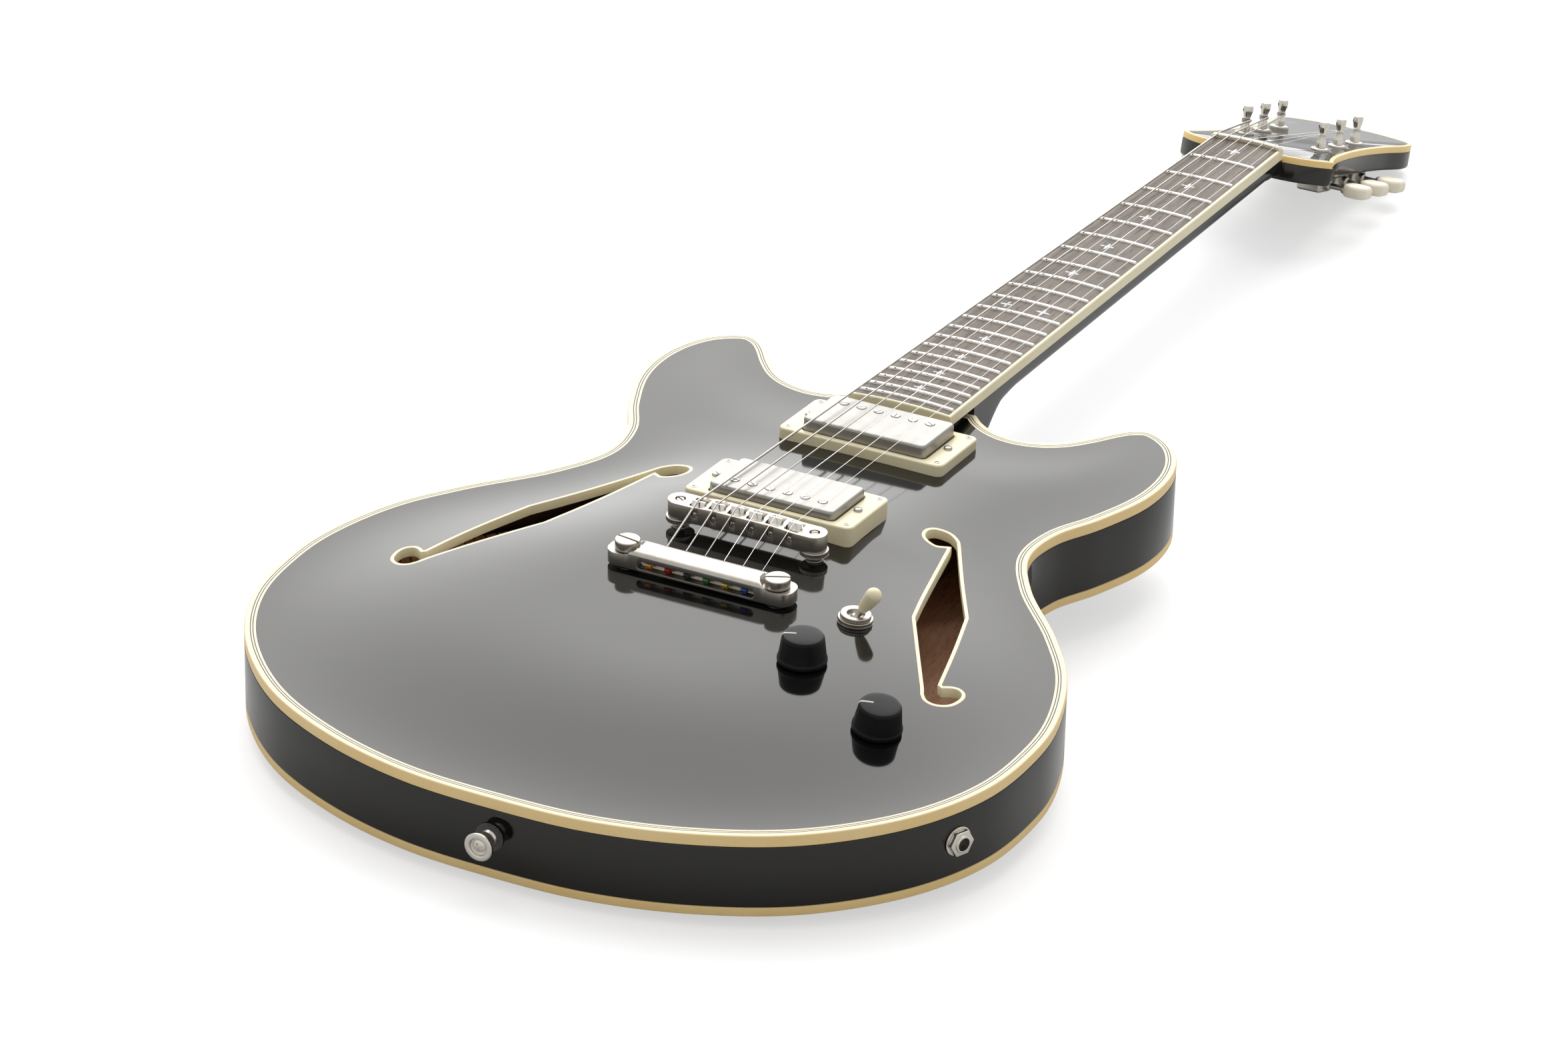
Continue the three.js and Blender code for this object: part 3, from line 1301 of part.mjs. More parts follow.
function toggleLever() {
  const frame = seatFrame(togglePlace.x, togglePlace.y).multiply(moved(0, 0, pivotZ))
    .multiply(new THREE.Matrix4().makeRotationY(toggle.lean));
  const [pivot, stick, tip] = [toggle.pivotDiameter, toggle.leverDiameter, toggle.tipDiameter]
    .map((d) => d / 2);
  const corner = pivot * Math.SQRT1_2;
  const tipFrom = toggle.leverLength - toggle.tipLength;
  return turned([
    [0, -pivot], [corner, -corner], [pivot, 0], [corner, corner], [stick, corner],
    [stick, tipFrom], [(stick + tip) / 2, tipFrom + stick], [tip, toggle.leverLength - tip],
    [tip * Math.SQRT1_2, toggle.leverLength - tip + tip * Math.SQRT1_2], [0, toggle.leverLength],
  ], toggle.roundSides, frame);
}
function jackPiece() {
  const inner = -body.wall - gap;
  const hexTop = gap + jack.washerHeight + jack.hexHeight;
  const solid = joinAll([
    rod(jack.washerDiameter, gap, gap + jack.washerHeight, jack.roundSides, jackPlace),
    rod(jack.hexAcross, gap, hexTop, jack.hexSides, jackPlace),
    rod(jack.sleeveDiameter, inner - jack.barrelLength, hexTop + jack.sleeveRise, jack.roundSides,
      jackPlace),
    rod(jack.barrelDiameter, inner - jack.barrelLength, inner - jack.barrelGap, jack.roundSides,
      jackPlace),
  ]);
  return solid.subtract(rod(jack.mouth, hexTop - jack.mouthDepth, hexTop + cutOverrun * 2,
    jack.roundSides, jackPlace));
}
const heelY = neckJointY + gap + neck.heelFoot / 2;
const heelPlace = neckFrame(heelY, crownAt(heelY) - neckTopAt(heelY) + neck.heelDepth)
  .multiply(new THREE.Matrix4().makeRotationX(Math.PI));
function strapButton(place) {
  const [felt, waist, flange, recess] = [strap.felt, strap.waist, strap.flange, strap.recess]
    .map((d) => d / 2);
  const feltTop = gap + strap.feltHeight;
  const edge = strap.height - strap.flangeHeight;
  return turned([
    [0, gap], [felt, gap], [felt, feltTop], [waist + strap.feltHeight / 2, feltTop],
    [waist, feltTop + strap.feltHeight], [waist, edge - strap.flangeHeight / 2], [flange, edge],
    [flange, strap.height], [recess, strap.height], [recess, strap.height - strap.recessDepth],
    [0, strap.height - strap.recessDepth],
  ], strap.roundSides, place);
}

// Every piece under its own name
const guitar = new THREE.Group();
const place = (name, solid, makeMaterial) => guitar.add(toMesh(name, solid, makeMaterial));

place('body_top', bodyTop(), finish.black);
place('body_back', bodyBack(), finish.black);
place('body_rim', bodyRim(), finish.black);
place('centre_block', centreBlock(), finish.paleWood);
place('top_binding', band(outline, binding.topWidth, -binding.topHeight, 0), finish.cream);
place('back_binding', band(outline, binding.backWidth, -body.depth, -body.depth + binding.backHeight),
  finish.cream);
for (const { name } of sides) place(`f_hole_binding_${name}`, fHoleBinding(name), finish.cream);

place('neck', neckPiece(), finish.black);
place('headstock_face', headFace(), finish.black);
place('headstock_binding', band(headOutline, binding.headWidth, -binding.headHeight, 0, headPlace),
  finish.cream);
place('truss_rod_cover', rodCover(), finish.blackPlastic);
place('fretboard', fretboard(), finish.rosewood);
place('fretboard_binding', boardBinding(), finish.cream);
place('nut', nutPiece(), finish.cream);

for (const pickupPlace of pickups) {
  place(`pickup_ring_${pickupPlace.name}`, pickupRing(pickupPlace), finish.cream);
  place(`pickup_cover_${pickupPlace.name}`, pickupCover(pickupPlace), finish.nickel);
  place(`pickup_coils_${pickupPlace.name}`, pickupCoils(pickupPlace), finish.coil);
}

place('bridge_body', bridgeBody(), finish.nickel);
for (const post of postPlaces) place(`bridge_post_${post.name}`, bridgePost(post), finish.nickel);
place('tailpiece', tailpiece(), finish.nickel);
for (const stud of studPlaces) place(`tailpiece_stud_${stud.name}`, tailStud(stud), finish.nickel);
for (const number of stringNumbers) {
  place(`saddle_${number}`, saddle(number), finish.nickel);
  place(`string_${number}`, stringPiece(number), finish.steel);
  place(`tuner_post_${number}`, tunerPost(tunerPlaces[number - 1]), finish.nickel);
  place(`tuner_button_${number}`, tunerButton(tunerPlaces[number - 1]), finish.cream);
}

for (const knob of knobs) {
  place(`knob_${knob.name}`, knobPiece(knob), finish.blackPlastic);
  place(`pot_${knob.name}`, potPiece(knob), finish.satinNickel);
}
place('toggle_switch', toggleSwitch(), finish.nickel);
place('toggle_lever', toggleLever(), finish.cream);
place('jack', jackPiece(), finish.nickel);
place('strap_button_tail', strapButton(tailPlace), finish.nickel);
place('strap_button_heel', strapButton(heelPlace), finish.nickel);

// Laid down: the line that touches the back and the headstock from below becomes the table
function lowestAlong(slope, accept) {
  let best = null;
  for (const mesh of guitar.children) {
    const points = mesh.geometry.getAttribute('position');
    for (let i = 0; i < points.count; i++) {
      const [y, z] = [points.getY(i), points.getZ(i)];
      if (accept(y) && (!best || z - slope * y < best.z - slope * best.y)) best = { y, z };
    }
  }
  return best;
}
let tableSlope = 0;
for (let round = 0; round < 4; round++) {
  const back = lowestAlong(tableSlope, (y) => y < neckJointY);
  const tip = lowestAlong(tableSlope, (y) => y >= neckJointY);
  tableSlope = (tip.z - back.z) / (tip.y - back.y);
}
guitar.rotation.x = -Math.atan(tableSlope);
guitar.updateMatrixWorld(true);
const bounds = new THREE.Box3().setFromObject(guitar, true);
const middle = bounds.getCenter(new THREE.Vector3());
guitar.position.set(-middle.x, -middle.y, -bounds.min.z);

export default guitar;
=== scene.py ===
"""The looks of a semi-hollow electric guitar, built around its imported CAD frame.

Every shape is worked out in the guitar's own frame, in millimetres: x runs to the treble side, y along
the neck and z up, with z = 0 where the top meets its binding and y = 0 where the strings leave the
bridge. lay_down() turns these points into the frame's metres, with the guitar at rest on its back.
"""

import logging
import math
from dataclasses import dataclass, field
from enum import Enum
from functools import cached_property
from typing import Callable, Iterable, Optional, Sequence

import bpy
import bmesh
import numpy as np
from mathutils import Matrix, Vector
from mathutils.geometry import delaunay_2d_cdt


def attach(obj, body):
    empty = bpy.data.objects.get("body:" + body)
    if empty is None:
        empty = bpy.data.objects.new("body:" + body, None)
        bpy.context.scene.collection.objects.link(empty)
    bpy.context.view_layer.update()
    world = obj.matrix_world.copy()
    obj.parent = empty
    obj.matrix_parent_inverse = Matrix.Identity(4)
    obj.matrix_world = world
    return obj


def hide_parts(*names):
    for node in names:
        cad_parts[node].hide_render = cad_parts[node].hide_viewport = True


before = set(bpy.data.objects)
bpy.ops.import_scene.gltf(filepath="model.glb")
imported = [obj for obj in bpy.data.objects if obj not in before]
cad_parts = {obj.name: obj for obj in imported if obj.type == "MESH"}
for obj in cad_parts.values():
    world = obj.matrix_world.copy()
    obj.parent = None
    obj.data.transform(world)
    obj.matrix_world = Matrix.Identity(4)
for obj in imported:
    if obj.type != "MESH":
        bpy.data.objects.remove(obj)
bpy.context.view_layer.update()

logging.basicConfig(level=logging.INFO, format="%(message)s")
log = logging.getLogger("guitar")

Array = np.ndarray
Piece = bpy.types.Object
GUITAR = "guitar"
# The turn about x, and the shift in millimetres, that rest the guitar on its back.
TABLE_TILT = math.radians(2.6028)
LAID_SHIFT = np.array([0.0, -267.0583, 60.4987])
PER_METRE = 1000.0
SIDES = {"bass": -1, "treble": 1}
# Strings and tuners are counted from the bass side; the sizes are diameters in millimetres.
STRINGS = range(1, 7)
BASS_STRINGS = 3
STRING_SIZES = (1.17, 0.91, 0.66, 0.43, 0.33, 0.25)
# The gap in millimetres between pieces that rest against each other.
HAIR = 0.06
# Turns in radians.
QUARTER = math.pi / 2
WHOLE = 2 * math.pi


class Slot(Enum):
    """The record's material slots."""

    LACQUER = "black_lacquer"
    WOOD = "bare_wood"
    CREAM = "cream_plastic"
    ROSEWOOD = "rosewood"
    STEEL = "steel"
    NICKEL = "nickel"
    PLASTIC = "black_plastic"
    COIL = "coil"


def tilted(points: Array, angle: float) -> Array:
    """Points turned about x: y' = y cos - z sin, z' = y sin + z cos."""
    x, y, z = np.moveaxis(points, -1, 0)
    c, s = math.cos(angle), math.sin(angle)
    return np.stack([x, y * c - z * s, y * s + z * c], axis=-1)


def lay_down(points: Array) -> Array:
    """Turns guitar points in millimetres into frame points in metres."""
    return (tilted(np.asarray(points, float), TABLE_TILT) + LAID_SHIFT) / PER_METRE


def pick_up(points: Array) -> Array:
    """Turns frame points in metres back into guitar points in millimetres."""
    return tilted(np.asarray(points, float) * PER_METRE - LAID_SHIFT, -TABLE_TILT)


@dataclass(frozen=True)
class Place:
    """A frame of its own inside the guitar's frame: an origin and three unit axes."""

    origin: tuple = (0.0, 0.0, 0.0)
    axes: tuple = ((1, 0, 0), (0, 1, 0), (0, 0, 1))

    def put(self, points: Array) -> Array:
        """Carries local points to the guitar's frame: origin + x X + y Y + z Z."""
        return np.asarray(points, float) @ np.array(self.axes, float) + np.array(self.origin)

    def moved(self, x: float = 0.0, y: float = 0.0, z: float = 0.0) -> "Place":
        """The same axes from another local point."""
        return Place(tuple(self.put([x, y, z])), self.axes)

    def turned(self, angle: float, axis: int = 2) -> "Place":
        """The frame turned about one of its own axes by the right-hand rule."""
        c, s = math.cos(angle), math.sin(angle)
        a, b = (axis + 1) % 3, (axis + 2) % 3
        axes = np.array(self.axes, float)
        axes[a], axes[b] = axes[a] * c + axes[b] * s, axes[b] * c - axes[a] * s
        return Place(self.origin, tuple(map(tuple, axes)))


LEVEL = Place()


def from_rear(x: float, y: float, z: float) -> Place:
    """A place that faces the tail: x stays, y is up and z points toward the tail."""
    return Place((x, y, z), ((1, 0, 0), (0, 0, 1), (0, -1, 0)))


def from_side(x: float, y: float, z: float) -> Place:
    """A place seen from the treble side: x runs along the neck, y up and z to the treble."""
    return Place((x, y, z), ((0, 1, 0), (0, 0, 1), (1, 0, 0)))


def leaning(angle: float, y: float, z: float) -> Place:
    """A place on the middle line whose y axis dips toward the headstock by an angle."""
    c, s = math.cos(angle), math.sin(angle)
    return Place((0, y, z), ((1, 0, 0), (0, c, -s), (0, s, c)))


def unit(v: Array) -> Array:
    """Vectors brought to length one along the last axis."""
    v = np.asarray(v, float)
    return v / np.maximum(np.linalg.norm(v, axis=-1, keepdims=True), 1e-12)


def ease(t: Array) -> Array:
    """A smooth step from 0 to 1: 3 t^2 - 2 t^3, with t held between 0 and 1."""
    t = np.clip(t, 0.0, 1.0)
    return t * t * (3 - 2 * t)


def spline(knots: Array, steps: int, closed: bool = False) -> Array:
    """Centripetal Catmull-Rom curve: each knot interval is timed by the root of its chord.

    The Barry-Goldman pyramid of straight mixes is worked out for all the samples of a span at once.

    Args:
        knots: (n, d) points.
        steps: samples in each span.
        closed: whether the curve comes back to its first knot.

    Returns:
        The samples, with the last knot at the end of an open curve.
    """
    def mix(low: float, high: float, first: Array, second: Array) -> Array:
        """The straight mix of two points or curves between two times."""
        return ((high - t) * first + (t - low) * second) / (high - low)

    p = np.asarray(knots, float)
    if closed:
        p = np.vstack([p[-1:], p, p[:2]])
    else:
        p = np.vstack([2 * p[:1] - p[1:2], p, 2 * p[-1:] - p[-2:-1]])
    out = []
    share = np.arange(steps)[:, None] / steps
    for a, b, c, d in zip(p, p[1:], p[2:], p[3:]):
        gaps = [max(np.linalg.norm(q - r), 1e-9) ** 0.5 for q, r in ((b, a), (c, b), (d, c))]
        t0, t1, t2, t3 = np.cumsum([0.0, *gaps])
        t = t1 + share * (t2 - t1)
        first, second, third = mix(t0, t1, a, b), mix(t1, t2, b, c), mix(t2, t3, c, d)
        out.append(mix(t1, t2, mix(t0, t2, first, second), mix(t1, t3, second, third)))
    return np.vstack(out if closed else [*out, p[-2:-1]])


def run_along(line: Array) -> Array:
    """The distance along a line at each of its points."""
    return np.concatenate([[0], np.cumsum(np.linalg.norm(np.diff(line, axis=0), axis=1))])


def respaced(line: Array, step: float, closed: bool = True) -> Array:
    """A line resampled at even arc length, about one step apart."""
    line = np.vstack([line, line[:1]]) if closed else line
    run = run_along(line)
    at = np.linspace(0, run[-1], max(int(round(run[-1] / step)), 2) + 1)
    at = at[:-1] if closed else at
    return np.stack([np.interp(at, run, column) for column in line.T], axis=1)


def loop_normals(loop: Array) -> Array:
    """Inward mitre vectors of a counter-clockwise loop, long enough to keep an even distance.

    Each is the sum of the two neighbouring edge normals, divided by the cosine of half the bend.
    """
    forward = unit(np.roll(loop, -1, axis=0) - loop)
    backward = np.roll(forward, 1, axis=0)
    along = forward + backward
    bend = np.sqrt(np.clip((1 + (forward * backward).sum(1)) / 2, 0.09, 1))
    return unit(np.stack([-along[:, 1], along[:, 0]], axis=1)) / bend[:, None]


def inset(loop: Array, distance: float) -> Array:
    """A counter-clockwise loop moved inward by a distance."""
    return loop + loop_normals(loop) * distance


def rounded_rectangle(length: float, width: float, radius: float, steps: int = 6) -> Array:
    """Counter-clockwise rectangle with quarter-circle corners."""
    angles = np.linspace(0, QUARTER, steps + 1)
    corners = ((1, -1, -1), (1, 1, 0), (-1, 1, 1), (-1, -1, 2))
    return np.vstack([np.stack([
        sx * (length / 2 - radius) + radius * np.cos(angles + turn * QUARTER),
        sy * (width / 2 - radius) + radius * np.sin(angles + turn * QUARTER),
    ], axis=1) for sx, sy, turn in corners])


def round_angles(sides: int) -> Array:
    """Evenly spread angles of a whole turn."""
    return np.linspace(0, WHOLE, sides, endpoint=False)


def circle(radius: float, sides: int, x: float = 0.0, y: float = 0.0) -> Array:
    """Counter-clockwise circle in the plane."""
    angle = round_angles(sides)
    return np.stack([x + radius * np.cos(angle), y + radius * np.sin(angle)], axis=1)


def mirrored(loop: Array) -> Array:
    """A loop flipped to the other side, still counter-clockwise."""
    return (loop * [-1, 1])[::-1]


def counter_clockwise(loop: Array) -> Array:
    """The loop, turned round if its signed area is negative."""
    (x, y), (nx, ny) = loop.T, np.roll(loop, -1, axis=0).T
    return loop if (x * ny - nx * y).sum() > 0 else loop[::-1]


def inside(points: Array, loop: Array) -> Array:
    """Which points lie in a loop, by counting the edges that a ray toward +x crosses."""
    x, y = points[:, :1], points[:, 1:2]
    (ax, ay), (bx, by) = loop.T[:, None], np.roll(loop, -1, axis=0).T[:, None]
    rise = np.where(by == ay, 1e-12, by - ay)
    meets = ax + (y - ay) / rise * (bx - ax)
    return (((ay > y) != (by > y)) & (x < meets)).sum(1) % 2 == 1


def fillet(profile: Sequence, radius: float, steps: int = 3) -> Array:
    """A profile whose inner corners are each rounded by a quadratic curve that starts a radius away."""
    p = np.asarray(profile, float)
    out = [p[:1]]
    t = np.linspace(0, 1, steps + 1)[:, None]
    for before, here, after in zip(p, p[1:], p[2:]):
        a, b = (here + unit(side) * min(radius, 0.45 * np.linalg.norm(side))
                for side in (before - here, after - here))
        out.append((1 - t) ** 2 * a + 2 * t * (1 - t) * here + t ** 2 * b)
    return np.vstack([*out, p[-1:]])


def lathe(profile: Sequence, sides: int, place: Place = LEVEL, soft: float = 0.0) -> Array:
    """Grid of a turned piece.

    Args:
        profile: (radius, z) pairs, each carried once round the place's z axis. A third number of a
            pair cuts teeth that deep: radius - depth (1 + cos(teeth x angle)) / 2.
        sides: points in each ring, four to a tooth where there are teeth.
        place: the frame of the axis.
        soft: how far the profile's corners are rounded.

    Returns:
        (rows, sides, 3) rings.
    """
    rows = fillet(profile, soft) if soft else np.asarray(profile, float)
    angle = round_angles(sides)
    radius, z = rows[:, :1], rows[:, 1:2] + 0 * angle
    if rows.shape[1] > 2:
        radius = radius - rows[:, 2:] * (1 + np.cos(sides // 4 * angle)) / 2
    return place.put(np.stack([radius * np.cos(angle), radius * np.sin(angle), z], axis=-1))


def slab(loop: Array, low: float, high: float, top_round: float = 0.0, low_round: float = 0.0,
         place: Place = LEVEL, steps: int = 4) -> Array:
    """Grid of a flat slab over a loop with rounded edges: quarter circles carry the loop inward.

    Args:
        loop: counter-clockwise (n, 2).
        low: height of the lower face.
        high: height of the upper face.
        top_round: radius of the upper edge.
        low_round: radius of the lower edge.
        place: the frame the loop is drawn in.
        steps: steps in each rounded edge.

    Returns:
        (rows, n, 3) rings from the lower face to the upper one.
    """
    normal = loop_normals(loop)
    rows = []
    for edge, radius, turn in ((low, low_round, 1), (high, top_round, -1)):
        angles = np.linspace(0, QUARTER, steps + 1 if radius else 1)
        pairs = np.stack([radius * (1 - np.cos(angles)), edge + turn * radius * (1 - np.sin(angles))], 1)
        rows += list(pairs[::-turn])
    return place.put([level(loop + normal * inward, z) for inward, z in rows])


def level(loop: Array, z: float | Array) -> Array:
    """Plane points at a height, or each at its own."""
    return np.column_stack([loop, np.broadcast_to(z, len(loop))])


def tube(line: Sequence, radius: float, sides: int = 12, place: Place = LEVEL) -> Array:
    """Grid of a round wire along a line, by carrying one ring square to it without twist."""
    line = np.asarray(line, float)
    along = unit(np.gradient(line, axis=0))
    side = unit(np.cross(along[0], [0.3, 0.1, 1.0]))
    rows = []
    angle = round_angles(sides)[:, None]
    for point, forward in zip(line, along):
        side = unit(side - forward * (side @ forward))
        up = np.cross(forward, side)
        rows.append(point + radius * (np.cos(angle) * side + np.sin(angle) * up))
    return place.put(np.stack(rows))


def swept(loop: Array, pairs: Array, arch: Optional[Callable[[Array, Array], Array]] = None) -> Array:
    """Grid of a strip that follows a loop.

    Args:
        loop: counter-clockwise (n, 2) outer edge.
        pairs: (m, 2) distances inward and heights of the strip's section.
        arch: a height that the strip follows, added to its own.

    Returns:
        (n, m, 3) points; the section is closed, so both ways wrap.
    """
    plane = loop[:, None] + loop_normals(loop)[:, None] * pairs[None, :, :1]
    z = np.broadcast_to(pairs[:, 1], plane.shape[:2])
    if arch is not None:
        z = arch(plane[..., 0], plane[..., 1]) + z
    return np.concatenate([plane, z[..., None]], axis=-1)


def flow_of(along: Array, across: Array, grid: Array) -> Array:
    """Flow coordinates of a grid from the distances of its rows and its columns."""
    shape = grid.shape[:2]
    return np.stack([np.broadcast_to(along[:, None], shape), np.broadcast_to(across, shape)], axis=-1)


class Skin:
    """Gathers grids of points into one mesh, with a flow coordinate on each point for its finish."""

    MERGE = 2e-6
    NEAR = 0.9

    def __init__(self) -> None:
        """Starts empty."""
        self.points: list[Array] = []
        self.flows: list[Array] = []
        self.faces: list[list[int]] = []
        self.slots: list[int] = []

    def add(self, points: Array, faces: Iterable, slot: int = 0, flow: Optional[Array] = None) -> None:
        """Adds points and faces counted from the first of these points.

        Args:
            points: (n, 3) points in the guitar's frame.
            faces: index lists.
            slot: the place of the finish in the piece's list.
            flow: (n, 2) distances along and across, in millimetres.
        """
        start = sum(map(len, self.points))
        self.points.append(np.asarray(points, float).reshape(-1, 3))
        count = len(self.points[-1])
        self.flows.append(np.zeros((count, 2)) if flow is None else flow.reshape(-1, 2))
        added = [[int(i) + start for i in face] for face in faces]
        self.faces += added
        self.slots += [slot] * len(added)

    def grid(self, points: Array, slot: int = 0, flow: Optional[Array] = None, cap: bool = True,
             ring: bool = False) -> "Skin":
        """Adds a grid of quads whose rows are closed loops.

        Args:
            points: (rows, columns, 3).
            slot: the place of the finish.
            flow: (rows, columns, 2) distances.
            cap: whether the first and last rows are closed by flat faces.
            ring: whether the last row joins the first instead.

        Returns:
            This skin.
        """
        rows, columns = points.shape[:2]
        r, c = np.meshgrid(np.arange(rows if ring else rows - 1), np.arange(columns), indexing="ij")
        nr, nc = (r + 1) % rows, (c + 1) % columns
        quads = np.stack([r * columns + c, r * columns + nc, nr * columns + nc, nr * columns + c], axis=-1)
        faces = quads.reshape(-1, 4).tolist()
        if cap and not ring:
            faces += [list(range(columns))[::-1], list(range((rows - 1) * columns, rows * columns))]
        self.add(points, faces, slot, flow)
        return self

    def make(self, name: str, finishes: Sequence["Finish"], sharp: float = 32.0,
             normals: Optional[Callable[[Array], Array]] = None) -> Piece:
        """Makes the mesh object: doubles merged, faces turned outward, smooth but for sharp edges.

        Args:
            name: the piece's name.
            finishes: one for each slot.
            sharp: the angle in degrees past which an edge stays sharp.
            normals: if given, turns guitar points into their normals.

        Returns:
            The object, at the origin.
        """
        mesh = bpy.data.meshes.new(name)
        local = np.vstack(self.points)
        mesh.from_pydata(lay_down(local).tolist(), [], self.faces)
        mesh.polygons.foreach_set("material_index", self.slots)
        flow = mesh.attributes.new("flow", "FLOAT_VECTOR", "POINT")
        values = level(np.vstack(self.flows) / PER_METRE, 0.0)
        flow.data.foreach_set("vector", values.astype(np.float32).ravel())
        work = bmesh.new()
        work.from_mesh(mesh)
        bmesh.ops.remove_doubles(work, verts=work.verts, dist=self.MERGE)
        bmesh.ops.recalc_face_normals(work, faces=work.faces)
        work.to_mesh(mesh)
        work.free()
        smooth(mesh, sharp)
        if normals is not None:
            self.bend_light(mesh, normals)
        for finish in finishes:
            mesh.materials.append(finish.material())
        return linked(bpy.data.objects.new(name, mesh))

    def bend_light(self, mesh: bpy.types.Mesh, normals: Callable[[Array], Array]) -> None:
        """Gives each corner the true normal of the surface where that lies near the face's own."""
        spots = read(mesh.vertices, "co", 3)
        verts = read(mesh.loops, "vertex_index", 1, np.int32)[:, 0]
        own = read(mesh.corner_normals, "vector", 3)
        wanted = unit(lay_down(normals(pick_up(spots))) - lay_down(np.zeros(3)))[verts]
        match = (wanted * own).sum(1)[:, None]
        bent = np.where(np.abs(match) > self.NEAR, wanted * np.sign(match), own)
        mesh.normals_split_custom_set(bent.tolist())


def read(items: bpy.types.bpy_prop_collection, name: str, width: int, kind: type = np.float32) -> Array:
    """One property of every item, as rows of this width."""
    values = np.empty(len(items) * width, kind)
    items.foreach_get(name, values)
    return values.reshape(-1, width).astype(float if kind is np.float32 else kind)


def linked(made: Piece) -> Piece:
    """Puts a new object in the scene."""
    bpy.context.scene.collection.objects.link(made)
    return made


def smooth(mesh: bpy.types.Mesh, sharp: float) -> None:
    """Shades a mesh smooth but for the edges past an angle in degrees."""
    mesh.polygons.foreach_set("use_smooth", [True] * len(mesh.polygons))
    mesh.set_sharp_from_angle(angle=math.radians(sharp))


def solid(name: str, grids: Iterable[Array | tuple[Array, int]], finishes: Sequence["Finish"],
          sharp: float = 32.0) -> Piece:
    """One piece from closed grids; a grid that takes a later finish comes with its place in the list."""
    skin = Skin()
    for grid in grids:
        points, slot = grid if isinstance(grid, tuple) else (grid, 0)
        skin.grid(points, slot)
    return skin.make(name, finishes, sharp)


def carve(piece: Piece, cutters: Sequence[Array], bevel: float = 0.0, sharp: float = 32.0) -> Piece:
    """Cuts closed grids out of a piece, and breaks the edges that the cuts leave.

    Args:
        piece: the object to cut.
        cutters: grids that wrap round and get caps.
        bevel: width of the broken edges in millimetres.
        sharp: the angle in degrees past which an edge stays sharp.

    Returns:
        The same object with the cuts in its mesh.
    """
    tool = solid(piece.name + "_tool", cutters, [])
    cut = piece.modifiers.new("cut", "BOOLEAN")
    cut.operation, cut.solver, cut.use_self, cut.object = "DIFFERENCE", "EXACT", True, tool
    if bevel:
        soft = piece.modifiers.new("soft", "BEVEL")
        soft.width, soft.segments, soft.harden_normals = bevel / PER_METRE, 2, False
        soft.limit_method, soft.angle_limit = "ANGLE", math.radians(40)
    graph = bpy.context.evaluated_depsgraph_get()
    mesh = bpy.data.meshes.new_from_object(piece.evaluated_get(graph))
    piece.modifiers.clear()
    old, piece.data = piece.data, mesh
    spare = tool.data
    bpy.data.objects.remove(tool)
    for done in (old, spare):
        bpy.data.meshes.remove(done)
    mesh.name = piece.name
    smooth(mesh, sharp)
    return piece


def settle(piece: Piece, slot: Slot, *nodes: str, body: str = GUITAR) -> None:
    """Says which body carries a piece and what it stands for."""
    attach(piece, body)
    if nodes:
        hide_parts(*nodes)
    log.info("%-26s rides on %-16s %7d faces", piece.name, body, len(piece.data.polygons))


def _operator(operation: str, flipped: bool = False) -> Callable[["Wire", "Wire | float"], "Wire"]:
    """The method behind one of Wire's operators.

    Args:
        operation: what the Math node does.
        flipped: whether the other term comes first, as in 1 - wire.

    Returns:
        A method that adds the node.
    """
    def method(wire: "Wire", other: "Wire | float") -> "Wire":
        """One Math node on the two terms."""
        return wire.math(operation, *((other, wire) if flipped else (wire, other)))
    return method


class Wire:
    """A socket of a material that adds, multiplies and compares like a number."""

    def __init__(self, bench: "Bench", socket: bpy.types.NodeSocket) -> None:
        """Keeps the socket and the material it belongs to."""
        self.bench = bench
        self.socket = socket

    def math(self, operation: str, *terms: "Wire | float") -> "Wire":
        """One Math node on these terms."""
        return self.bench.node("ShaderNodeMath", {"operation": operation}, dict(enumerate(terms)))

    __add__, __radd__ = _operator("ADD"), _operator("ADD", True)
    __sub__, __rsub__ = _operator("SUBTRACT"), _operator("SUBTRACT", True)
    __mul__, __rmul__ = _operator("MULTIPLY"), _operator("MULTIPLY", True)

    def waves(self) -> "Wire":
        """From 0 to 1 and back, once in a whole turn of the value in radians."""
        return self.math("SINE", self) * 0.5 + 0.5

    def over(self, edge: float, soft: float) -> "Wire":
        """How far the value has passed an edge: 0 below it, 1 above it, with a soft width between."""
        limits = {"Value": self, "From Min": edge - soft / 2, "From Max": edge + soft / 2}
        return self.bench.node("ShaderNodeMapRange", {"interpolation_type": "SMOOTHSTEP"}, limits)

    def between(self, low: float, high: float) -> "Wire":
        """1 between two values and 0 elsewhere, with soft ends."""
        soft = (high - low) / 5
        return self.over(low, soft) - self.over(high, soft)


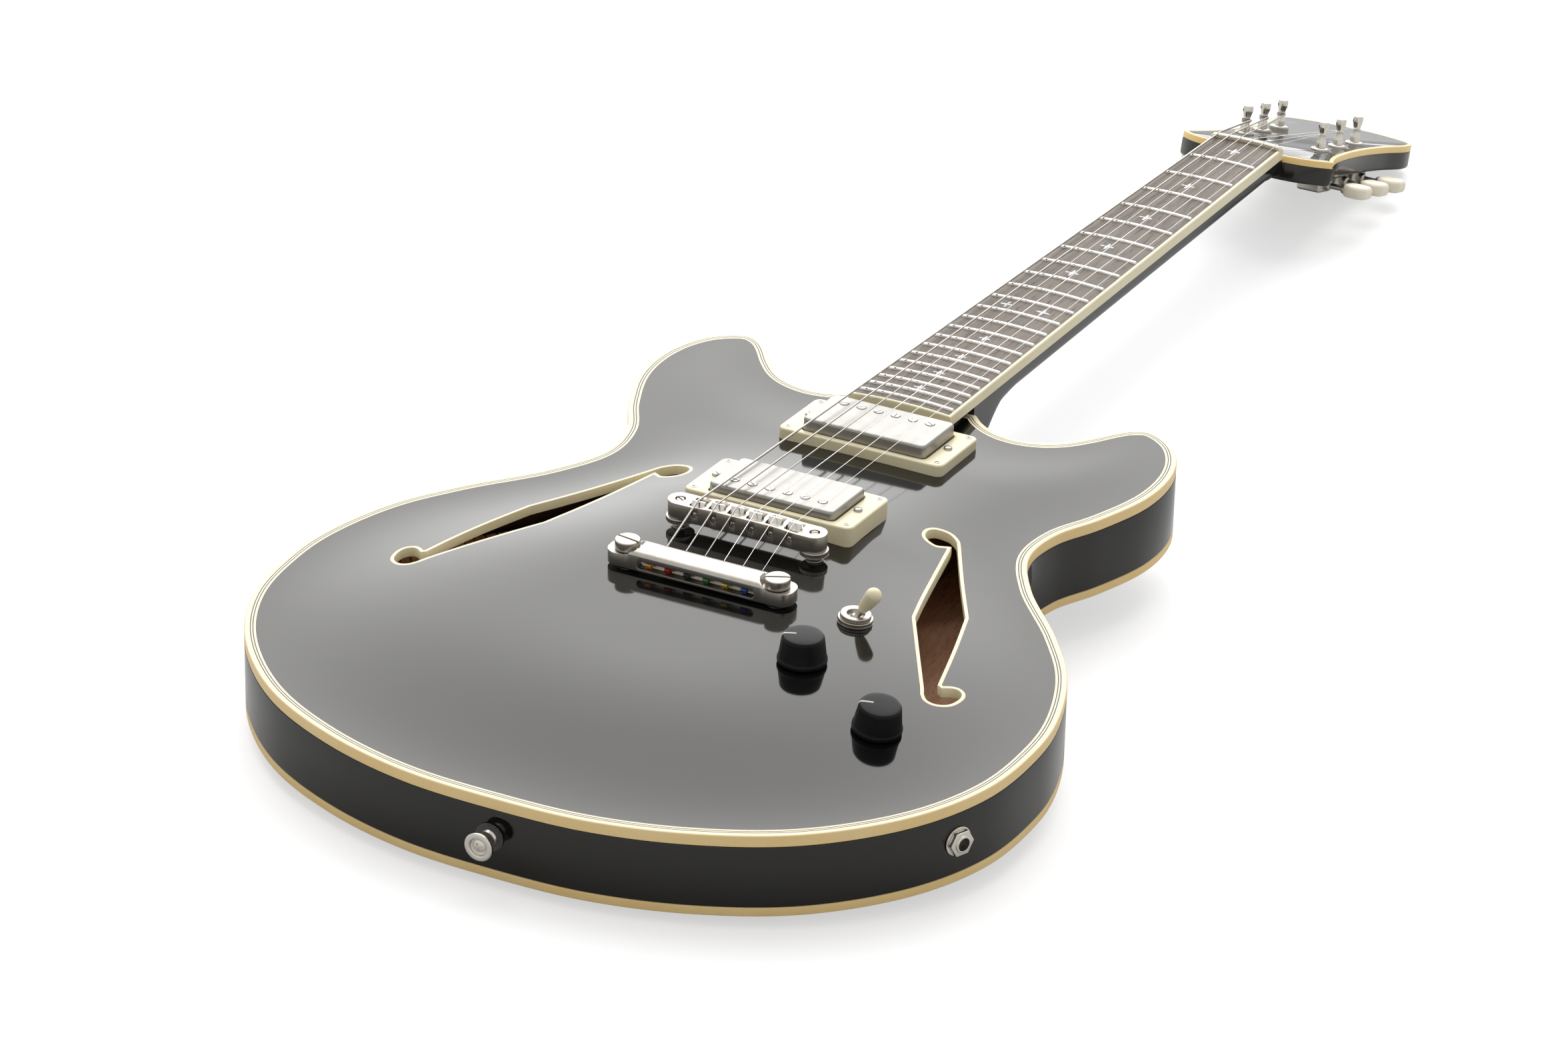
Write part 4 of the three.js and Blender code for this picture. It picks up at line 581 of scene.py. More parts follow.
class Bench:
    """The nodes of one material."""

    def __init__(self, name: str) -> None:
        """Starts an empty material of this name."""
        self.made = bpy.data.materials.new(name)
        self.made.use_nodes = True
        self.tree = self.made.node_tree
        self.tree.nodes.clear()

    def node(self, kind: str, settings: Optional[dict] = None, inputs: Optional[dict] = None,
             output: int | str = 0) -> Wire:
        """Adds any node.

        Args:
            kind: the node's type.
            settings: its properties.
            inputs: a wire or a plain value for each socket, by name or number.
            output: the socket that is handed back.

        Returns:
            The wire from that socket.
        """
        made = self.tree.nodes.new(kind)
        for key, value in (settings or {}).items():
            setattr(made, key, value)
        for key, value in (inputs or {}).items():
            socket = made.inputs[key]
            if isinstance(value, Wire):
                self.tree.links.new(value.socket, socket)
            else:
                socket.default_value = (*value[:3], 1.0) if socket.type == "RGBA" else value
        return Wire(self, made.outputs[output])

    def spot(self, x: float = 1.0, y: float = 1.0, z: float = 1.0) -> Wire:
        """The point in the frame, in metres, scaled by a factor on each axis."""
        place = self.node("ShaderNodeTexCoord", output="Object")
        if x == y == z:
            return place
        return self.node("ShaderNodeMapping", None, {"Vector": place, "Scale": (x, y, z)})

    def flow(self, axis: int) -> Wire:
        """The piece's own distance along (0) or across (1), in metres."""
        vector = self.node("ShaderNodeAttribute", {"attribute_name": "flow"}, output="Vector")
        return self.node("ShaderNodeSeparateXYZ", None, {0: vector}, axis)

    def noise(self, scale: float, detail: float = 3.0, rough: float = 0.5, at: Optional[Wire] = None) -> Wire:
        """Soft noise from 0 to 1, with a scale in waves to the metre."""
        inputs = {"Vector": at or self.spot(), "Scale": scale, "Detail": detail, "Roughness": rough}
        return self.node("ShaderNodeTexNoise", None, inputs, "Fac")

    def mix(self, factor: Wire | float, first: Wire | tuple, second: Wire | tuple) -> Wire:
        """A colour between two others."""
        return self.node("ShaderNodeMix", {"data_type": "RGBA"}, {0: factor, 6: first, 7: second}, 2)

    def finish(self, height: Wire, depth: float, strength: float, **inputs: "Wire | float | tuple") -> None:
        """Adds the surface shader over a bump, and the output.

        Args:
            height: a height from 0 to 1 that bends the normal.
            depth: the depth in metres that it stands for.
            strength: the share of the bend that shows.
            **inputs: the shader's sockets, with underscores in the names for spaces.
        """
        bump = {"Height": height, "Distance": depth, "Strength": strength}
        plain = {key.replace("_", " "): value for key, value in inputs.items()}
        plain["Normal"] = self.node("ShaderNodeBump", None, bump, "Normal")
        self.out(self.node("ShaderNodeBsdfPrincipled", None, plain, "BSDF"))

    def out(self, shader: Wire) -> None:
        """Joins a shader to the material's output."""
        made = self.tree.nodes.new("ShaderNodeOutputMaterial")
        self.tree.links.new(shader.socket, made.inputs["Surface"])


@dataclass(frozen=True)
class Finish:
    """A named finish; each kind paints its own nodes."""

    name: str

    def material(self) -> bpy.types.Material:
        """The finish's material, made on its first use."""
        found = bpy.data.materials.get(self.name)
        if found is None:
            bench = Bench(self.name)
            self.paint(bench)
            found = bench.made
        return found

    def paint(self, bench: Bench) -> None:
        """Adds the nodes."""
        raise NotImplementedError


@dataclass(frozen=True)
class Lacquer(Finish):
    """Polished black lacquer over wood: deep, with faint polishing haze and a slow ripple."""

    colour: tuple = (0.0045, 0.0045, 0.0048)
    haze: tuple = (0.008, 0.008, 0.0078)
    roughness: float = 0.045

    def paint(self, bench: Bench) -> None:
        """Haze follows large noise, polish marks fine noise, and a long low ripple bends the light."""
        cloud = bench.noise(9.0, 4.0, 0.55)
        marks = bench.noise(900.0, 2.0, 0.6, bench.spot(1.0, 0.15, 1.0))
        dust = bench.noise(2600.0, 1.0).over(0.72, 0.08)
        ripple = bench.noise(38.0, 1.0)
        bench.finish(
            ripple + marks * 0.02, 0.00012, 0.25,
            Base_Color=bench.mix(cloud * 0.6 + dust * 0.25, self.colour, self.haze),
            Roughness=self.roughness + cloud * 0.035 + marks * 0.02 + dust * 0.05,
            IOR=1.54,
            Specular_Tint=(1.0, 0.98, 0.935),
        )


@dataclass(frozen=True)
class Celluloid(Finish):
    """Aged cream plastic: warm, a little cloudy, yellower in patches, with fine scuffs."""

    # The deep golden cream is partly the plastic's aged tone and partly painted shade, deepened to the warm
    # look of the bindings' shaded sides.
    colour: tuple = (0.98, 0.73, 0.34)
    aged: tuple = (0.94, 0.65, 0.25)
    roughness: float = 0.28

    def tint(self, bench: Bench) -> Wire:
        """Cream that yellows with slow noise and darkens in fine specks."""
        age = bench.noise(24.0, 4.0, 0.6).over(0.5, 0.5) * 0.75
        specks = bench.noise(1400.0, 2.0).over(0.68, 0.1)
        return bench.mix(specks * 0.12, bench.mix(age, self.colour, self.aged), (0.35, 0.24, 0.12))

    def paint(self, bench: Bench) -> None:
        """Colour by age, roughness by scuffs."""
        scuffs = bench.noise(500.0, 3.0, 0.65)
        bench.finish(
            scuffs, 0.00003, 0.4,
            Base_Color=self.tint(bench),
            Roughness=self.roughness + scuffs * 0.16,
            Subsurface_Weight=0.08,
            Subsurface_Radius=(1.0, 0.7, 0.35),
            Subsurface_Scale=0.002,
        )


@dataclass(frozen=True)
class PlyBinding(Celluloid):
    """Cream binding with thin black lines set into it at stated distances from the edge, in metres; its upper
    face is painted paler than its side, which is painted light.
    """

    lines: tuple = ((0.00285, 0.0034), (0.0041, 0.00465))
    # The paler cream painted on the upper face as painted light; the side keeps the deeper cream as painted
    # shade.
    upper: tuple = (0.93, 0.86, 0.66)

    def tint(self, bench: Bench) -> Wire:
        """Painted light: paler on the upper face, as if lit from above, than on the shaded side; black where
        the distance across lies in a line.
        """
        across = bench.flow(1)
        # Painted light: just inside the outer corner the upper face turns to the paler cream, and the side
        # keeps the deeper cream as painted shade.
        cream = bench.mix(across.over(0.0003, 0.0009) * 0.8, super().tint(bench), self.upper)
        first, second = (across.between(*line) for line in self.lines)
        return bench.mix(first + second, cream, (0.012, 0.011, 0.010))


@dataclass(frozen=True)
class Metal(Finish):
    """Plated or plain metal with handling marks: cloudy tarnish and fine scratches."""

    colour: tuple
    tarnish: tuple
    roughness: float
    scratch: float = 0.00002
    worn: float = 0.5

    def paint(self, bench: Bench) -> None:
        """Tarnish in clouds, scratches as stretched noise in two directions."""
        cloud = bench.noise(130.0, 4.0, 0.62)
        first = bench.noise(1500.0, 2.0, 0.5, bench.spot(1.0, 0.06, 0.4))
        second = bench.noise(1700.0, 2.0, 0.5, bench.spot(0.08, 1.0, 0.5))
        pits = bench.noise(1900.0, 1.0).over(0.71, 0.06)
        bench.finish(
            first + second - pits, self.scratch, 0.35,
            Base_Color=bench.mix(cloud.over(0.5, 0.6) * self.worn + pits * 0.3, self.colour, self.tarnish),
            Metallic=1.0,
            Roughness=self.roughness + cloud * 0.1 + pits * 0.15 + first * second * 0.08,
        )


@dataclass(frozen=True)
class Wound(Metal):
    """A wrapped string: ridges that lean round the core, a pitch apart in metres."""

    pitch: float = 0.00042

    def paint(self, bench: Bench) -> None:
        """Ridges are waves of the distance along, one to a pitch."""
        ridges = (bench.flow(0) * (WHOLE / self.pitch)).waves()
        cloud = bench.noise(300.0, 3.0)
        bench.finish(
            ridges, 0.00008, 0.8,
            Base_Color=bench.mix(cloud * 0.5 + (1.0 - ridges) * 0.4, self.colour, self.tarnish),
            Metallic=1.0,
            Roughness=self.roughness + cloud * 0.1,
        )


@dataclass(frozen=True)
class Wood(Finish):
    """Timber with its grain along the guitar: streaks, pores and a slow change of tone."""

    light: tuple
    dark: tuple
    pore: tuple
    roughness: float = 0.62
    pores: float = 0.5
    depth: float = 0.0001
    along: float = 0.05

    def paint(self, bench: Bench) -> None:
        """Streaks are noise stretched along the grain, pores the peaks of a finer one."""
        grain = bench.spot(1.0, self.along, 1.0)
        streaks = bench.noise(260.0, 4.0, 0.62, grain)
        pores = bench.noise(1500.0, 2.0, 0.55, grain).over(0.62, 0.1)
        tone = bench.noise(14.0, 2.0)
        wood = bench.mix(streaks.over(0.5, 0.55) * 0.8 + tone * 0.2, self.light, self.dark)
        bench.finish(
            streaks * 0.5 - pores, self.depth, 0.6,
            Base_Color=bench.mix(pores * self.pores, wood, self.pore),
            Roughness=self.roughness + streaks * 0.14 + pores * 0.1,
        )


@dataclass(frozen=True)
class Pearl(Finish):
    """Shell inlay: milky, with bands of faint rose and green under a polished face."""

    def paint(self, bench: Bench) -> None:
        """Bands are waves of warped noise; two tints lie over a milky ground."""
        bands = (bench.noise(210.0, 3.0, 0.6) * 34.0).waves()
        cloud = bench.noise(420.0, 2.0)
        ground = bench.mix(bands * 0.7, (0.50, 0.53, 0.57), (0.32, 0.40, 0.47))
        bench.finish(
            bands, 0.00003, 0.3,
            Base_Color=bench.mix(cloud.over(0.55, 0.2) * 0.5, ground, (0.58, 0.53, 0.54)),
            Roughness=0.16 + cloud * 0.14,
            Coat_Weight=0.6,
            Coat_Roughness=0.08,
        )


@dataclass(frozen=True)
class Plastic(Finish):
    """Moulded plastic with handling shine, fine texture and pale dust in its pores."""

    colour: tuple = (0.006, 0.006, 0.0065)
    worn: tuple = (0.014, 0.0145, 0.014)
    roughness: float = 0.40
    texture: float = 0.00004

    def paint(self, bench: Bench) -> None:
        """Wear in clouds lightens and polishes; fine noise gives the moulded skin."""
        wear = bench.noise(75.0, 4.0, 0.6)
        skin = bench.noise(2300.0, 2.0)
        dusty = wear.over(0.52, 0.4) * 0.7 + skin.over(0.7, 0.1) * 0.2
        bench.finish(
            skin + wear * 0.5, self.texture, 0.5,
            Base_Color=bench.mix(dusty, self.colour, self.worn),
            Roughness=self.roughness + skin * 0.12 - wear * 0.08,
            Specular_IOR_Level=0.15,
        )


@dataclass(frozen=True)
class Felt(Finish):
    """Pressed felt: short crossed fibres over a mottled dark ground."""

    colour: tuple = (0.030, 0.027, 0.025)
    lint: tuple = (0.10, 0.09, 0.085)

    def paint(self, bench: Bench) -> None:
        """Two stretched noises cross as fibres."""
        first = bench.noise(2200.0, 3.0, 0.7, bench.spot(1.0, 0.25, 1.0))
        second = bench.noise(2400.0, 3.0, 0.7, bench.spot(0.25, 1.0, 1.0))
        fibres = first * second * 3.2
        bench.finish(
            fibres, 0.0002, 0.8,
            Base_Color=bench.mix(fibres.over(0.75, 0.5), self.colour, self.lint),
            Roughness=0.9 + first * 0.08,
            Sheen_Weight=0.4,
        )


@dataclass(frozen=True)
class Windings(Finish):
    """Wound wire under black tape, seen only through gaps."""

    colour: tuple = (0.20, 0.07, 0.03)
    tape: tuple = (0.05, 0.02, 0.01)

    def paint(self, bench: Bench) -> None:
        """Turns are fine level bands over copper-brown enamel."""
        turns = bench.noise(3000.0, 1.0, 0.5, bench.spot(0.05, 0.05, 1.0))
        cloud = bench.noise(160.0, 3.0)
        bench.finish(
            turns, 0.0001, 0.6,
            Base_Color=bench.mix(turns * 0.7 + cloud * 0.2, self.colour, self.tape),
            Roughness=0.35 + cloud * 0.2,
        )


GLOSS = Lacquer("gloss_black")
BACK_GLOSS = Lacquer("gloss_black_back", roughness=0.06)
NECK_GLOSS = Lacquer("gloss_black_neck", roughness=0.09, haze=(0.016, 0.016, 0.016))
CREAM = Celluloid("cream")
# The top's ply binding, with painted light on its upper face and painted shade on its side.
CREAM_EDGE = PlyBinding("cream_ply")
CREAM_RING = Celluloid("cream_ring", (0.93, 0.85, 0.60), (0.88, 0.77, 0.49), 0.24)
# A paler copy of the cream: painted light on the board's binding, which faces away from the lamps; the f-hole
# edges and the toggle tip share it.
CREAM_PALE = Celluloid("pale_cream", (0.95, 0.87, 0.62), (0.90, 0.80, 0.51))
IVORY = Celluloid("ivory_nut", (0.90, 0.85, 0.72), (0.80, 0.73, 0.57))
PALE = Celluloid("pale_button", (0.94, 0.89, 0.76), (0.89, 0.81, 0.63))
ROSEWOOD = Wood("rosewood_board", (0.145, 0.104, 0.062), (0.066, 0.047, 0.029), (0.008, 0.005, 0.004),
                0.42, 0.75, 0.00009, 0.035)
INSIDE = Wood("inside_ply", (0.84, 0.50, 0.31), (0.66, 0.36, 0.21), (0.30, 0.14, 0.08))
LINING = Wood("lining_wood", (0.90, 0.66, 0.42), (0.76, 0.50, 0.29), (0.34, 0.18, 0.09), 0.7, 0.35)
BLOCK = Wood("block_wood", (0.52, 0.34, 0.17), (0.33, 0.19, 0.09), (0.14, 0.075, 0.035), 0.66, 0.4)
NICKEL = Metal("nickel_plate", (0.52, 0.49, 0.44), (0.34, 0.31, 0.26), 0.24)
COVER_NICKEL = Metal("nickel_cover", (0.35, 0.338, 0.318), (0.30, 0.287, 0.262), 0.31, 0.000015, 0.4)
POLISHED = Metal("polished_nickel", (0.76, 0.73, 0.67), (0.52, 0.48, 0.41), 0.12, 0.00001, 0.4)
STEEL = Metal("bright_steel", (0.50, 0.48, 0.45), (0.30, 0.28, 0.25), 0.22)
FRET = Metal("fret_wire", (0.72, 0.70, 0.66), (0.47, 0.44, 0.39), 0.13)
WOUND = Wound("wound_string", (0.60, 0.57, 0.52), (0.28, 0.26, 0.23), 0.24)
PLAIN = Metal("plain_string", (0.78, 0.77, 0.75), (0.52, 0.50, 0.47), 0.14)
PEARL = Pearl("pearl")
SATIN = Plastic("satin_black")
GLOSS_PLASTIC = Plastic("gloss_black_plastic", (0.008, 0.008, 0.0085), (0.02, 0.02, 0.02), 0.12, 0.00001)
POINTER = Plastic("pointer_white", (0.72, 0.70, 0.64), (0.52, 0.49, 0.42), 0.45)
FELT = Felt("pressed_felt")
COIL = Windings("coil_wire")
BALL_TINTS = ((0.62, 0.30, 0.08), (0.42, 0.03, 0.025), (0.05, 0.05, 0.055), (0.06, 0.22, 0.07),
              (0.60, 0.45, 0.10), (0.05, 0.10, 0.34))
BALLS = [Metal(f"ball_{number}", tint, tuple(0.5 * part for part in tint), 0.3)
         for number, tint in zip(STRINGS, BALL_TINTS)]


@dataclass(frozen=True)
class Form:
    """The guitar's shared shape: its outline, its arches and the line of its neck."""

    half_width: float = 202.68
    length: float = 488.0
    tail_y: float = -263.0
    neck_joint: float = 198.16
    depth: float = 43.0
    top_arch: float = 12.6
    top_run: float = 105.0
    top_flat: float = 6.1
    back_arch: float = 9.5
    back_run: float = 80.0
    back_flat: float = 3.5
    fall_share: float = 0.58
    fall_from: float = 30.0
    fall_run: float = 95.0
    scale_length: float = 628.65
    neck_angle: float = math.radians(4.4)
    head_angle: float = math.radians(13.5)
    crown_at_bridge: float = 26.4
    board_radius: float = 305.0
    nut_width: float = 43.1
    board_spread: float = 15.2
    board_run: float = 460.15
    shares: tuple = (
        (0.0, 0.0), (0.24, 0.0055), (0.477, 0.032), (0.7, 0.081), (0.883, 0.16), (0.977, 0.243),
        (1.0, 0.328), (0.987, 0.389), (0.921, 0.473), (0.814, 0.543), (0.661, 0.622), (0.589, 0.684),
        (0.599, 0.738), (0.662, 0.792), (0.716, 0.857), (0.723, 0.91), (0.697, 0.953), (0.646, 0.984),
        (0.572, 1.0), (0.525, 0.992), (0.493, 0.978), (0.453, 0.955), (0.405, 0.933), (0.359, 0.921),
        (0.304, 0.915), (0.257, 0.916), (0.215, 0.922), (0.178, 0.932), (0.148, 0.945),
    )

    @cached_property
    def outline(self) -> Array:
        """Counter-clockwise edge of the body, seen from above; the neck's end closes it."""
        half = np.array(self.shares) * [self.half_width, self.length] + [0, self.tail_y]
        return respaced(spline(np.vstack([mirrored(half)[:-1], half]), 12), 2.4, closed=False)

    @cached_property
    def edge_runs(self) -> tuple[Array, Array]:
        """Middles and lengths of short stretches of the edge."""
        loop = respaced(self.outline, 2.6)
        ahead = np.roll(loop, -1, axis=0)
        return (loop + ahead) / 2, np.linalg.norm(ahead - loop, axis=1)

    def edge_distance(self, x: Array, y: Array) -> Array:
        """Smooth distance from the edge: (2 / pi x the sum of run / r^4) to the power -1/3."""
        middles, runs = self.edge_runs
        flat = np.stack([np.ravel(x), np.ravel(y)], axis=1).astype(float)
        out = np.empty(len(flat))
        for part in np.array_split(np.arange(len(flat)), len(flat) // 4000 + 1):
            square = ((flat[part, None, :] - middles[None]) ** 2).sum(2)
            out[part] = (2 / math.pi * (runs / square ** 2).sum(1)) ** (-1 / 3)
        return out.reshape(np.shape(x))

    def arch(self, x: Array, y: Array, height: float, run: float, flat: float) -> Array:
        """Half a cosine wave from the edge inward: height (1 - cos(pi share)) / 2."""
        share = np.clip((self.edge_distance(x, y) - flat) / run, 0, 1)
        return height * (1 - np.cos(math.pi * share)) / 2

    def top_at(self, x: Array, y: Array) -> Array:
        """Height of the top, whose arch falls away toward the neck."""
        fall = self.fall_share * ease((y - self.fall_from) / self.fall_run)
        return (1 - fall) * self.arch(x, y, self.top_arch, self.top_run, self.top_flat)

    def back_at(self, x: Array, y: Array) -> Array:
        """Height of the back."""
        return -self.depth - self.arch(x, y, self.back_arch, self.back_run, self.back_flat)

    def normals_of(self, height: Callable[[Array, Array], Array]) -> Callable[[Array], Array]:
        """Turns a height function into one that gives its normals: (-dz/dx, -dz/dy, 1)."""
        def normals(points: Array) -> Array:
            """Normals at these points, by central differences over a millimetre."""
            x, y, d = points[:, 0], points[:, 1], 0.5
            slope_x = (height(x + d, y) - height(x - d, y)) / (2 * d)
            slope_y = (height(x, y + d) - height(x, y - d)) / (2 * d)
            return unit(np.stack([-slope_x, -slope_y, np.ones_like(x)], axis=1))
        return normals

    def seat(self, x: float, y: float, up: float = 0.0) -> Place:
        """A place square on the arched top."""
        normal = self.normals_of(self.top_at)(np.array([[x, y]]))[0]
        across = unit(np.cross([0, 1, 0], normal))
        origin = np.array([x, y, float(self.top_at(x, y))]) + normal * up
        return Place(tuple(origin), (tuple(across), tuple(np.cross(normal, across)), tuple(normal)))

    def edge_place(self, y: float, z: float) -> Place:
        """A place on the treble edge: z points out of the wall, x along it and y up."""
        right = self.outline[self.outline[:, 0] > 60]
        k = int(np.argmin(np.abs(right[:, 1] - y)))
        ax, ay = unit(right[k + 1] - right[k - 1])
        x = right[k, 0] + (y - right[k, 1]) * ax / ay
        return Place((x, y, z), ((ax, ay, 0), (0, 0, 1), (ay, -ax, 0)))

    @property
    def nut_y(self) -> float:
        """Where the neck's scale ends, along the body."""
        return self.scale_length * math.cos(self.neck_angle)

    def crown_at(self, y: Array) -> Array:
        """Height of the board's crown line."""
        return self.crown_at_bridge - y * math.tan(self.neck_angle)

    def crown_place(self, y: float = 0.0, below: float = 0.0) -> Place:
        """A place on the crown line that leans with the neck."""
        return leaning(self.neck_angle, y, self.crown_at(y) - below)

    def board_width(self, along: Array) -> Array:
        """Width of the board at a distance from the bridge, along the crown line."""
        return self.nut_width + self.board_spread * (self.scale_length - along) / self.board_run

    def crown_drop(self, x: Array) -> Array:
        """How far the board's round face falls from its middle: x^2 / (2 radius)."""
        return x ** 2 / (2 * self.board_radius)

    def head_place(self) -> Place:
        """The headstock's face, with y toward its tip."""
        return leaning(self.neck_angle + self.head_angle, self.nut_y + 5.3, self.crown_at(self.nut_y) - 5.4)

    def string_x(self, number: int, y: float) -> float:
        """Distance of a string from the middle line: 10.4 from the next at the bridge, 7.2 at the nut."""
        return (number - 3.5) * (10.4 - 3.2 * y / self.nut_y)

    def string_z(self, number: int, y: float) -> float:
        """Height of a string between the bridge and the nut."""
        rise = 4.1 - 2.2 * y / self.nut_y
        return self.crown_at(y) + rise - self.crown_drop(self.string_x(number, y))

    def string_at(self, number: int, y: float, below: float = 0.0) -> tuple[float, float, float]:
        """A point of a string."""
        return self.string_x(number, y), y, self.string_z(number, y) - below


FORM = Form()
CROWN = FORM.crown_place()
HEAD = FORM.head_place()
# The board's thickness and where it ends over the body.
BOARD_DEPTH = 6.993
BOARD_END = 168.5
# The foot of the top's binding, and how far in its black lines begin and end.
EDGE_DEPTH = -6.08
LINES_ACROSS = (2.85, 3.4, 4.1, 4.65)


def sheet(loops: Sequence[Array], upper: Callable, lower: Callable, step: float,
          slots: tuple[int, int] = (0, 0)) -> Skin:
    """A plate between two height functions, over an outer loop with holes.

    The plane is split into triangles over a square grid of inner points, and the same split serves both
    faces. Walls join them along every loop.

    Args:
        loops: the outer loop first, then the holes, all counter-clockwise.
        upper: height of the upper face.
        lower: height of the lower face.
        step: distance between the grid's points.
        slots: finishes of the upper face, and of the lower face with the walls.

    Returns:
        The plate's skin.
    """
    outer, *holes = loops
    rows = [np.arange(low, high, step) for low, high in zip(outer.min(0), outer.max(0))]
    spots = np.stack([axis.ravel() for axis in np.meshgrid(*rows)], axis=1)
    keep = inside(spots, inset(outer, step * 0.55))
    for hole in holes:
        keep &= ~inside(spots, inset(hole, -step * 0.45))
    edges, start = [], 0
    for loop in loops:
        ids = np.arange(len(loop))
        edges += np.stack([ids + start, (ids + 1) % len(loop) + start], axis=1).tolist()
        start += len(loop)
    found = delaunay_2d_cdt([Vector(p) for p in np.vstack([*loops, spots[keep]])], edges, [], 0, 1e-7)
    flat = np.array([tuple(v) for v in found[0]])
    triangles = np.array([face for face in found[2] if len(face) == 3])
    middle = flat[triangles].mean(1)
    keep = inside(middle, outer)
    for hole in holes:
        keep &= ~inside(middle, hole)
    triangles = triangles[keep]
    skin = Skin()
    skin.add(level(flat, upper(*flat.T)), triangles, slots[0])
    skin.add(level(flat, lower(*flat.T)), triangles[:, ::-1], slots[1])
    for loop in loops:
        skin.grid(np.stack([level(loop, height(*loop.T)) for height in (lower, upper)]), slots[1], cap=False)
    return skin


@dataclass(frozen=True)
class FHole:
    """The f-hole's edge: six curves that meet at corners, drawn as shares of the body."""

    x_share: float = 0.5427
    y_share: float = -0.0287
    wide: float = 0.2195
    long: float = 0.1711
    stretches: tuple = (
        ((-0.63, 0.805), (-0.733, 0.768), (-0.848, 0.78), (-0.952, 0.821), (-1.0, 0.877), (-0.998, 0.94),
         (-0.937, 0.985), (-0.839, 1.0), (-0.742, 0.997), (-0.65, 0.97), (-0.576, 0.935)),
        ((-0.519, 0.88), (-0.15, 0.506), (0.272, 0.098)),
        ((0.282, 0.078), (0.458, -0.247), (0.583, -0.5), (0.698, -0.75)),
        ((0.71, -0.752), (0.785, -0.718), (0.872, -0.705), (0.96, -0.731), (1.0, -0.777), (1.0, -0.845),
         (0.962, -0.913), (0.879, -0.96), (0.775, -0.98), (0.67, -0.965), (0.592, -0.918)),
        ((0.534, -0.854), (0.222, -0.559), (-0.206, -0.148)),
        ((-0.218, -0.13), (-0.334, 0.108), (-0.487, 0.46), (-0.622, 0.79)),
    )

    def loop(self, sign: int) -> Array:
        """Counter-clockwise outer edge of the binding on the bass (-1) or treble (1) side."""
        size = np.array([FORM.half_width, FORM.length])
        lines = [spline(size * ([self.x_share, self.y_share] + np.array(part) * [self.wide, self.long]), 7)
                 for part in self.stretches]
        treble = counter_clockwise(respaced(np.vstack(lines), 1.15)[::-1])
        return treble if sign > 0 else mirrored(treble)


